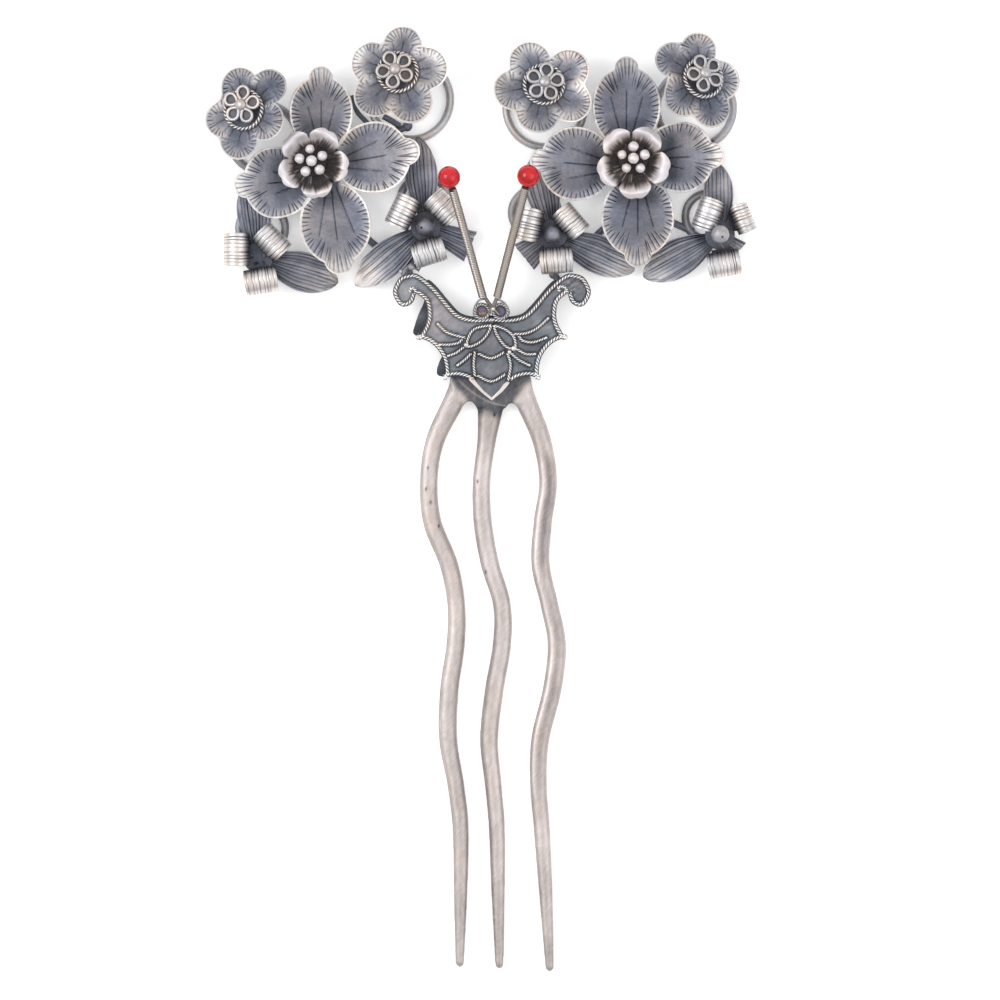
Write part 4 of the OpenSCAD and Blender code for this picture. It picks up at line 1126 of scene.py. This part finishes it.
for name, (middle, (ball_r, ball_up), leaf_list, ribbons) in SPRAYS.items():
    if ball_r:
        ball = new_mesh()
        wear = 0.66 if name == "right_outer" else 0.5
        bead_of(ball, (*middle, RIBBON_Z + ball_up), ball_r, wear, lumps=0.025, lump_size=0.7,
                fine=5)
        if name in BALL_PITS:
            layer = ball.verts.layers.float["wear"]
            for v in ball.verts:
                off = math.dist(v.co.xy - Vector(middle), BALL_PITS[name])
                deep = bell(off, PIT_R) * step(0, 0.3, v.co.z - RIBBON_Z - ball_up)
                v.co.z -= PIT_DEPTH * deep
                v[layer] -= 0.6 * deep
        wire(ball, even([(*middle, RIBBON_Z), (*middle, RIBBON_Z + ball_up)], 0.4), 0.6, wear=0.2)
        finished_as("ball_" + name, "pitted", ball, dark_sheet, 0.0005)

# %% [markdown]
# ## The wire frames
# Round wire, bent into rings and short struts and soldered where they meet, carries the flowers
# and the sprays. The joints are covered by blobs of solder, which is what makes them look
# handmade.

# %% Rings, struts and posts
RINGS = {"left": ((-11.6, 63.9, 6.4), (-35, 57.7, 5.4), (-35.3, 43.3, 3.7), (-9.3, 47.6, 3.9)),
         "right": ((10, 62.5, 6.2), (36.2, 45.2, 3.7), (8.4, 45.8, 3.7))}
OPEN_RING, OPEN_FROM, OPEN_TURN = (34, 62.5, 6.1), -59, 330
LEFT_MIDDLE, LEFT_LOW, LEFT_PIN = (-24.6, 46.8), (-12, 36.2), (-11.6, 33.4)
RIGHT_MIDDLE, RIGHT_LOW, RIGHT_PIN = (23.9, 47.2), (11.4, 36), (12.8, 34)
STRUTS = {"left": ((BIG_LEFT, (-12, 59.6)), (BIG_LEFT, (-30.3, 55)),
                   (BIG_LEFT, (-32.75, 45.95)), (BIG_LEFT, LEFT_MIDDLE),
                   (LEFT_MIDDLE, LEFT_LOW), ((-9.5, 43.7), LEFT_LOW), (LEFT_LOW, LEFT_PIN),
                   (SMALL["left_outer"][:2], (-35, 63.1)),
                   (SMALL["left_inner"][:2], (-14.3, 69.7))),
          "right": ((BIG_RIGHT, (14.85, 58.65)), (BIG_RIGHT, (29.45, 58.45)),
                    (BIG_RIGHT, RIGHT_MIDDLE), (RIGHT_MIDDLE, RIGHT_LOW),
                    (RIGHT_MIDDLE, (33.3, 42.9)), (RIGHT_LOW, RIGHT_PIN),
                    ((9.6, 42.4), RIGHT_LOW), (SMALL["right_inner"][:2], (9.5, 68.7)),
                    (SMALL["right_outer"][:2], (35.2, 68.5)))}
FRONT_PLATE_Z = 4.1
POST_R = WIRE_R * 0.72


def post_top(flower):
    slope = rad(flower[4])
    return flower[2] - PETAL_T / 2 / math.cos(slope) - POST_R * math.tan(slope) - GAP


POSTS = {"left": [(*BIG_LEFT, BIG_Z - PETAL_T - GAP), (*LEFT_PIN, FRONT_PLATE_Z - GAP),
                  (*LEFT_LOW, 0), (*LEFT_MIDDLE, 0)],
         "right": [(*BIG_RIGHT, BIG_Z - PETAL_T - GAP), (*RIGHT_PIN, FRONT_PLATE_Z - GAP),
                   (*RIGHT_MIDDLE, 0), (*RIGHT_LOW, 0)]}
for name, flower in SMALL.items():
    POSTS[name.split("_")[0]].append((*flower[:2], post_top(flower)))

# %% Thin wires and solder that were only seen
LOOSE_WIRES = {"left": [([(-20.8, 64.6), (-20.1, 62), (-18.7, 60.4), (-16.4, 57.8)], 0.4, 1.2),
                        ([(-15.9, 61.2), (-14.6, 60.5), (-13.2, 59.6)], 0.5, 1.6),
                        ([(-12.6, 35.4), (-12.4, 36.6), (-11.2, 37.2), (-10, 36.6)], 0.4, 3.6)],
               "right": []}
SOLDER = {"left": [(-11.3, 37.1, 4.1, 0.62), (-12.9, 36.3, 3.4, 0.5)],
          "right": [(14.2, 34.6, 3.2, 0.55)]}

# %% Bend and solder them
for side in ("left", "right"):
    mesh = new_mesh()
    for x, y, r in RINGS[side]:
        worn = 0.72 if y > 60 else 0.58
        wire(mesh, circle_of(x, y, r, WIRE_R, 90), WIRE_R, 14, wear=worn, loop=True, uneven=0.04)
    if side == "right":
        x, y, r = OPEN_RING
        arc = [(*round_spot(x, y, r, rad(OPEN_FROM + 3 * k)), WIRE_R)
               for k in range(OPEN_TURN // 3 + 1)]
        wire(mesh, arc, WIRE_R, 14, wear=0.66, uneven=0.04)
        bead_of(mesh, arc[0], WIRE_R * 0.99, 0.5)
    for a, b in STRUTS[side]:
        wire(mesh, even([(*a, WIRE_R), (*b, WIRE_R)], 0.4), WIRE_R * 0.88, 12, wear=0.4,
             uneven=0.05)
        for end in (a, b):
            bead_of(mesh, (*end, WIRE_R), WIRE_R * 1.25, 0.5, squash=0.78, lumps=0.12,
                    lump_size=1.2)
    for x, y, top in POSTS[side]:
        if top:
            wire(mesh, even([(x, y, WIRE_R), (x, y, top)], 0.4), POST_R, 12, wear=0.3)
        bead_of(mesh, (x, y, WIRE_R), WIRE_R * 1.3, 0.45, squash=0.75, lumps=0.12, lump_size=1)
    for line, radius, height in LOOSE_WIRES[side]:
        path = smooth_through([(x, y, height) for x, y in line])
        wire(mesh, path, radius, 10, wear=0.45, uneven=0.06)
    for x, y, z, radius in SOLDER[side]:
        bead_of(mesh, (x, y, z), radius, 0.66, squash=0.75, lumps=0.14, lump_size=0.8)
    finished_as("wire_frame_" + side, "soldered", mesh, dark_sheet, 0.0005)

# %% [markdown]
# ## The butterfly
# Two sheets cut as wings lie one over the other on the root plate. The front one has a border and
# veins of fine twisted wire soldered on. The sheets are cut from their outline, sliced into small
# fields so that they can be a little uneven, and thickened.

# %% Outlines of the wings
WING_X = 1.5
WING = [[(0, 29), (2.4, 28.8), (4.7, 29.2), (6.3, 30.4), (9.1, 33.7), (11.7, 35.8), (13.4, 35.9),
         (14.9, 35.2), (15.85, 33), (14.9, 31), (13.7, 30.7), (12.6, 31.4), (12.1, 32.8)],
        [(12.1, 32.8), (10.7, 31.6), (10.3, 30), (10.4, 28.4), (11.1, 26.8), (11.9, 25.7)],
        [(11.9, 25.7), (10.3, 25.2), (8.9, 24.1), (7.9, 22.5), (7.5, 20.7), (7.6, 19.2)],
        [(7.6, 19.2), (6, 19.6), (4.5, 19.4), (3.2, 18.7), (0, 15.6)]]
BACK_TOP = [(0, 29.3), (2.4, 29.1), (4.6, 29.5), (6.05, 30.65), (8.85, 33.95), (10.1, 35),
            (10.7, 34.6), (10.8, 33.4)]
BACK_BOTTOM = [(7.2, 19.4), (6, 19.9), (4.5, 19.7), (3.2, 19), (0, 16)]
BACK_RIGHT = [BACK_TOP,
              [(10.8, 33.4), (10.2, 31.6), (9.9, 30), (10, 28.4), (10.7, 26.8), (11.4, 25.8)],
              [(11.4, 25.8), (10, 25.5), (8.6, 24.5), (7.5, 22.6), (7.1, 20.8), (7.2, 19.4)],
              BACK_BOTTOM]
BACK_LEFT = [BACK_TOP,
             [(10.8, 33.4), (10.7, 32.2), (11.05, 31), (11.7, 29.6), (12.35, 27.7), (12.6, 26.5),
              (12, 25.95)],
             [(12, 25.95), (10.2, 25.4), (8.8, 24.3), (7.95, 23.1), (8.4, 21.9), (8.8, 20.6),
              (8.6, 19.7), (7.2, 19.4)],
             BACK_BOTTOM]
BACK_PLATE_Z, PLATE_T = 2.6, 0.5
EYES = ((-0.1, 29.9), (2.87, 29.9))
EYE_LOBE_R, EYE_R, EYE_WIRE_R = 1.45, 1.15, 0.28
BORDER_H, BORDER_INSET = 0.5, 0.4


def wing_outline(right, left):
    halves = []
    for wing in (right, left):
        half = []
        for stretch in wing:
            half += smooth_through(stretch)[:-1]
        halves.append(half)
    tip = Vector(right[-1][-1])
    return ([(WING_X + p.x, p.y) for p in halves[0] + [tip]]
            + [(WING_X - p.x, p.y) for p in reversed(halves[1][1:])])


# %% Lines of the twisted wires
FILIGREE = [
    [(-7.14, 27.9), (-5.74, 26.6), (-4, 26), (-2.7, 25.7)],
    [(-6.8, 24.6), (-5.3, 24.6), (-3.8, 24.9), (-3.3, 25.5)],
    [(-5.5, 22.8), (-4.2, 23.3), (-3, 24.2)], [(-4, 21.3), (-2.8, 22.2), (-1.8, 23.2)],
    [(10.5, 28.8), (8.7, 27.2), (6.9, 26.4), (5, 26.3)],
    [(10.2, 25.7), (8.2, 25), (6.5, 25.2), (5.8, 26)],
    [(8.4, 23.1), (6.9, 23.1), (5.5, 23.9)], [(7.5, 21.3), (5.9, 22.1), (4.6, 23.2)],
    [(1.4, 27.7), (-1.1, 27.2), (-2.2, 25.9), (-2.6, 24.4)],
    [(1.4, 27.7), (0.8, 26.3), (-0.4, 25), (-1.9, 24.3), (-2.6, 24.4)],
    [(1.8, 27.7), (3.5, 27.1), (4.9, 26), (5.3, 24.6), (5, 23.9)],
    [(1.8, 27.7), (2.2, 26.4), (3, 25.1), (3.9, 24.2), (5, 23.9)],
    [(-1.2, 23.5), (-1.4, 21.5), (-1.2, 19.5)], [(4, 23.2), (4.5, 21.3), (4.1, 18.9)],
    [(-0.7, 23.2), (1.4, 22.4), (3.5, 23.4)], [(-0.8, 19.7), (1.4, 18.7), (3.7, 19.9)]]
BORDER_STRAND, VEIN_STRAND = 0.135, 0.115
plate_top = FRONT_PLATE_Z + PLATE_T


def inset(path, by):
    frames = headings([Vector((p.x, p.y, 0)) for p in path], False, UP)
    return [Vector((p.x, p.y, 0)) + side * by for p, (side, above) in zip(path, frames)]


border_lines = []
for stretch in WING:
    edge = inset(smooth_through(stretch), BORDER_INSET)
    if stretch is WING[3]:
        edge = edge[:13]
    for way in (1, -1):
        border_lines.append([(WING_X + way * p.x, p.y, plate_top + BORDER_STRAND) for p in edge])
vein_lines = [[(p.x, p.y, plate_top + VEIN_STRAND * 1.2) for p in smooth_through(curve)]
              for curve in FILIGREE]
near_wire = KDTree(4000)
for line in border_lines + vein_lines:
    for p in even(line, 0.15):
        near_wire.insert((p.x, p.y, 0), 0)
near_wire.balance()

# %% Cut the sheets
def cut_sheet(bm, outline, z, uneven, wear_of, cell=0.6):
    layer = bm.verts.layers.float["wear"]
    bm.faces.new([bm.verts.new((x, y, 0)) for x, y in outline])
    for axis in (0, 1):
        low = min(v.co[axis] for v in bm.verts)
        high = max(v.co[axis] for v in bm.verts)
        normal = Vector((1 - axis, axis, 0))
        for k in range(1, int((high - low) / cell) + 1):
            geom = bm.verts[:] + bm.edges[:] + bm.faces[:]
            bmesh.ops.bisect_plane(bm, geom=geom, plane_co=normal * (low + k * cell),
                                   plane_no=normal, dist=0.0001)
    bmesh.ops.remove_doubles(bm, verts=bm.verts, dist=0.01)
    bmesh.ops.recalc_face_normals(bm, faces=bm.faces)
    if sum(f.normal.z for f in bm.faces) < 0:
        bmesh.ops.reverse_faces(bm, faces=bm.faces)
    for v in bm.verts:
        v[layer] = wear_of(v.co.x, v.co.y)
        v.co.z = z + PLATE_T + uneven * rough(v.co.x, v.co.y, z, 3)
    bmesh.ops.translate(bm, vec=(0, 0, -PLATE_T), verts=extruded(bm, bm.faces[:]))
    bmesh.ops.recalc_face_normals(bm, faces=bm.faces)


back = new_mesh()
cut_sheet(back, wing_outline(BACK_RIGHT, BACK_LEFT), BACK_PLATE_Z, 0.03,
          lambda x, y: 0.3 + 0.14 * rough(x, y, 9, 2))
finished("butterfly_back_sheet", back, wing_sheet, ["butterfly_back_plate"])


def plate_wear_and_sheen(x, y):
    # Painted highlight: `sheen` lightens the upper part of each wing and the left scroll, as if
    # light caught the sheet there.
    sheen = bell(math.hypot(x + 7, y - 30), 5) + 0.3 * bell(math.hypot(x - 8, y - 30), 4)
    sheen += 0.6 * bell(math.hypot(x + 12, y - 33.5), 2.5)
    dirt = step(0.6, 0.3, near_wire.find((x, y, 0))[2])
    return (0.45 + 0.22 * sheen + 0.1 * rough(x, y, 9, 3.2) + 0.08 * rough(x, y, 19, 0.8)
            - 0.3 * dirt)


front = new_mesh()
cut_sheet(front, wing_outline(WING, WING), FRONT_PLATE_Z, 0.05, plate_wear_and_sheen, 0.3)
for x, y in EYES:
    add_disc(front, x, y, FRONT_PLATE_Z + 0.01, FRONT_PLATE_Z + PLATE_T + 0.03, EYE_LOBE_R, 0.12)
finished("butterfly_front_sheet", front, wing_sheet, ["butterfly_plate"])

post = new_mesh()
low = BACK_PLATE_Z + PLATE_T + GAP
add_disc(post, WING_X, 24, low, FRONT_PLATE_Z - GAP, 1.6, 0.2)
finished("butterfly_post_pin", post, dark_sheet, ["butterfly_post"])

# %% Solder on the twisted wires
wires = new_mesh()
for line in border_lines:
    twisted(wires, line, BORDER_STRAND, 1.1, points=14)
for line in vein_lines:
    twisted(wires, line, VEIN_STRAND, 0.9, points=12)
EYE_LOOPS = [[(0.7, 31.9, 5.9), (-0.4, 31.75, 5.7), (-1.12, 30.9, 5.4), (-1.4, 29.7, 5.1),
              (-1.1, 28.9, 4.85)],
             [(2.2, 31.8, 5.9), (3.2, 31.5, 5.7), (4.0, 30.6, 5.4), (4.2, 29.6, 5.1),
              (3.8, 28.9, 4.85)]]
for loop in EYE_LOOPS:
    wire(wires, smooth_through(loop), 0.17, wear=0.46, uneven=0.1)
POINT_STRIPS = [[(-2.2, 19.05), (-1.4, 19.25), (-0.85, 18.45), (0.3, 17.15), (1.5, 16.15),
                 (1.5, 15.65), (0.2, 16.65), (-1.1, 17.85), (-1.7, 18.45)],
                [(1.5, 15.65), (1.5, 16.15), (2.7, 17.35), (3.4, 18.3), (3.95, 18.75),
                 (4.35, 18.55), (3.9, 17.9), (3.1, 17.0)]]
for strip in POINT_STRIPS:
    add_slab(wires, strip, plate_top - 0.05, plate_top + 0.18, 0.74, 0.06)
FREE_VEINS = 8
for x, y in (curve[0] for curve in FILIGREE[:FREE_VEINS]):
    bead_of(wires, (x, y, plate_top + 0.15), 0.23, 0.9, fine=2)
WIRE_JOINTS = ((-2.6, 24.5, 0.42), (5.05, 24.0, 0.48), (-10.35, 25.75, 0.4),
               (13.35, 25.75, 0.4), (-6.05, 19.25, 0.36), (9.05, 19.25, 0.36), (4.3, 23.4, 0.34))
for x, y, r in WIRE_JOINTS:
    bead_of(wires, (x, y, plate_top + 0.16), r, 0.8, squash=0.7, lumps=0.1, lump_size=0.5)
SCROLL_WIRES = ([(-10.6, 32.9), (-10.9, 33.5), (-11.5, 33.6), (-11.6, 33)],
                [(13.6, 32.9), (13.3, 33.6), (12.7, 33.9), (12.1, 33.7), (12.3, 33.1)])
for line in SCROLL_WIRES:
    twisted(wires, smooth_through([(x, y, plate_top + 0.2) for x, y in line]), 0.13, 0.8)
closed_up(wires, 0.0004)
finished("butterfly_twisted_wires", wires, bright_sheet, ["butterfly_plate"])

# %% [markdown]
# Inside the eye rings the heat of soldering has left the silver dark, with a sheen of blue,
# violet and copper. A separate dark finish gives the two small discs that tint.

# %% The eyes' discs
tinted, tree, shader = new_material("heat_tinted_silver")
hues = ramp_node(tree, noise_node(tree, object_coords(tree), 1500, 2, 0.5),
                 tones((0.3, 92, 108, 130), (0.45, 124, 110, 132), (0.55, 96, 94, 100),
                       (0.7, 178, 140, 116)))
dress(tree, shader, {"Base Color": hues, "Metallic": 0.8, "Roughness": 0.45})
discs = new_mesh()
for x, y in EYES:
    add_disc(discs, x, y, plate_top - 0.02, plate_top + 0.3, EYE_R - 0.05, 0.2)
add_disc(discs, 1.42, 28.55, plate_top - 0.02, plate_top + 0.12, 0.5, 0.2)
closed_up(discs)
finished("butterfly_eye_discs", discs, tinted, ["butterfly_plate"])

# %% The eye rings
eye_z = plate_top + BORDER_H + GAP + EYE_WIRE_R
for side, (x, y) in zip(("left", "right"), EYES):
    ring = new_mesh()
    twisted(ring, circle_of(x, y, EYE_R, eye_z, 60), EYE_WIRE_R / 2, 0.95, loop=True, points=12,
            wear=0.66)
    finished_as("eye_ring_" + side, "wound", ring, bright_sheet, 0.0004)

# %% [markdown]
# ## Antennae and coral
# The antennae are springs: fine wire wound tight on a straight core, so that the beads tremble.
# Bare wire leads from the springs down to a small knot between the eyes. The beads are turned
# coral with a drilled hole, glossy and a little uneven in colour.

# %% The springs
KNOT, KNOT_R = Vector((1.7, 30.3, 6.2)), 0.36
ANTENNAE = {"left": (Vector((0.06, 32.2, 6.3)), Vector((-5.3, 51.2, 12))),
            "right": (Vector((2.35, 32.2, 6.3)), Vector((7.3, 51.4, 12)))}
COIL_R, BEAD_R, BEAD_HOLE_R = 0.7, 1.8, 0.38
BEAD_STEPS, HOLE_STEPS = 32, 6
COIL_WIRE_R = 0.14


def add_spring(bm, start, end, pitch=0.29, points=13):
    way = (end - start).normalized()
    side = way.cross(UP).normalized()
    above = side.cross(way)
    length = (end - start).length
    mean = COIL_R - COIL_WIRE_R
    turns = length / pitch
    coil, line = [], []
    for k in range(int(turns * points) + 1):
        a = TURN * k / points
        spot = start + way * (length * k / (turns * points))
        line.append(spot)
        coil.append(spot + (side * math.cos(a) + above * math.sin(a)) * mean)
    wire(bm, coil, COIL_WIRE_R, 6, wear=0.78, axis=line, up=way)
    layer = bm.verts.layers.float["wear"]
    for v in bm.verts:
        out = v.co - start
        out = (out - way * out.dot(way)).normalized()
        # Painted light on the coil: its top is painted lighter, partly as rubbing and partly as a
        # painted highlight, and a painted dark reflection band runs along it just right of its
        # middle.
        v[layer] *= 0.5 + 0.62 * step(0.2, 0.85, out.z) - 0.3 * bell(out.x - 0.4, 0.13)


for side, (start, end) in ANTENNAE.items():
    spring = new_mesh()
    way = (end - start).normalized()
    top = end - way * (BEAD_R + GAP)
    add_spring(spring, start, top - way * 0.35)
    wire(spring, even([start - way * 0.1, top], 0.6), 0.45, wear=0.1)
    wire(spring, even([top - way * 0.6, top], 0.1), 0.6, 16, wear=0.12)
    wire(spring, even([top - way * 0.5, end], 0.3), 0.3, wear=0.3)
    foot = (start - KNOT).normalized()
    wire(spring, even([KNOT + foot * (KNOT_R + GAP), start + way * COIL_R], 0.2), 0.3, wear=0.45)
    across = Vector((0.9 if side == "left" else -0.9, -0.9, -0.75))
    between = (start + KNOT + across) / 2 + UP * 0.3
    wire(spring, smooth_through([start + way * 0.3, between, KNOT + across]), 0.2, wear=0.6)
    finished_as("antenna_" + side, "spring", spring, spring_wire, 0.0004)

knot = new_mesh()
bead_of(knot, KNOT, KNOT_R, 0.8, lumps=0.06, lump_size=0.5)
finished("antenna_knot_ball", knot, bright_sheet, ["antenna_knot"])

# %% Coral
coral, tree, shader = new_material("coral_red")
clouds = noise_node(tree, object_coords(tree, (1, 3, 1), rad(35)), 700, 2, 0.4)
reds = ramp_node(tree, clouds, tones((0.3, 166, 4, 14), (0.5, 188, 8, 22), (0.72, 206, 34, 46)))
dress(tree, shader, {"Base Color": reds, "Roughness": 0.3, "Specular IOR Level": 0.1,
                     "Coat Weight": 0.75, "Coat Roughness": 0.04, "Subsurface Weight": 0.12,
                     "Subsurface Radius": (0.001, 0.0003, 0.0002)})

for side, (start, end) in ANTENNAE.items():
    bead = new_mesh()
    way = (end - start).normalized()
    turn = UP.rotation_difference(way)
    half = math.sqrt(BEAD_R ** 2 - BEAD_HOLE_R ** 2)
    mouth = math.asin(BEAD_HOLE_R / BEAD_R)
    profile = []
    for k in range(BEAD_STEPS + 1):
        a = mouth + (math.pi - 2 * mouth) * k / BEAD_STEPS
        profile.append((BEAD_R * math.sin(a), BEAD_R * math.cos(a)))
    for k in range(1, HOLE_STEPS):
        profile.append((BEAD_HOLE_R, -half + 2 * half * k / HOLE_STEPS))
    corners = [bead.verts.new((r, 0, h)) for r, h in profile]
    edges = [bead.edges.new(pair) for pair in zip(corners, corners[1:] + corners[:1])]
    bmesh.ops.spin(bead, geom=corners + edges, cent=(0, 0, 0), axis=(0, 0, 1), angle=TURN,
                   steps=48, use_merge=True)
    closed_up(bead)
    bmesh.ops.rotate(bead, cent=(0, 0, 0), matrix=turn.to_matrix(), verts=bead.verts)
    bmesh.ops.translate(bead, vec=end, verts=bead.verts)
    finished("coral_bead_" + side, bead, coral, ["bead_" + side], sharp=60)

# %% [markdown]
# ## Floor, light and camera
# The ornament lies on a plain white table in soft studio light. The world is brighter above and to
# the left than below, so that the metal has something to mirror, and two soft lamps add
# highlights.

# %% The floor
FLOOR_HALF, FLOOR_DROP = 1200 * MM, 0.02 * MM
floor_mesh = bpy.data.meshes.new("floor")
floor_bm = bmesh.new()
bmesh.ops.create_grid(floor_bm, x_segments=2, y_segments=2, size=FLOOR_HALF)
bmesh.ops.translate(floor_bm, vec=(0, 0, -FLOOR_DROP), verts=floor_bm.verts)
floor_bm.to_mesh(floor_mesh)
floor_bm.free()
floor = put("floor", floor_mesh)
paper, tree, shader = new_material("white_paper")
dress(tree, shader, {"Base Color": (0.93, 0.93, 0.93, 1), "Roughness": 0.9,
                     "Emission Color": (1, 1, 1, 1), "Emission Strength": 0.3})
floor_mesh.materials.append(paper)

# %% Light
world = bpy.data.worlds.new("studio")
bpy.context.scene.world = world
world.use_nodes = True
tree = world.node_tree
seen = add_node(tree, "TexCoord", {}).outputs["Generated"]
facing = add_node(tree, "VectorMath", {0: seen, 1: Vector((-0.1, 0.35, 0.93))},
                  operation="DOT_PRODUCT").outputs["Value"]
spread = add_node(tree, "MapRange", {"Value": facing, "From Min": -0.4, "From Max": 1.0})
shades = ramp_node(tree, spread.outputs["Result"],
                   [(0.0, (0.28, 0.28, 0.29)), (0.5, (0.8, 0.8, 0.81)), (1.0, (1.04, 1.03, 1.02))])
dress(tree, tree.nodes["Background"], {"Color": shades, "Strength": 1.0})


def soft_lamp(name, place, power, size):
    lamp = bpy.data.lights.new(name, "AREA")
    lamp.shape = "SQUARE"
    lamp.size = size
    lamp.energy = power
    light = put(name, lamp)
    light.location = place
    light.rotation_euler = Vector(place).to_track_quat("Z", "Y").to_euler()


soft_lamp("window", (-0.52, 0.14, 0.62), 2.3, 0.4)
soft_lamp("fill", (0.5, -0.1, 0.6), 1.6, 0.6)

# %% Camera
PICTURE_MM = 160
MIDDLE_X, MIDDLE_Y, TRUE_SIZE_Z = 2.8, -0.24, 3
lens, sensor = 500, 36
camera_data = bpy.data.cameras.new("camera")
camera_data.lens = lens
camera_data.sensor_width = sensor
camera_data.clip_start = 0.01
camera = put("camera", camera_data)
camera.location = (MIDDLE_X * MM, MIDDLE_Y * MM, (PICTURE_MM * lens / sensor + TRUE_SIZE_Z) * MM)
bpy.context.scene.camera = camera
bpy.context.scene.view_settings.view_transform = "Standard"
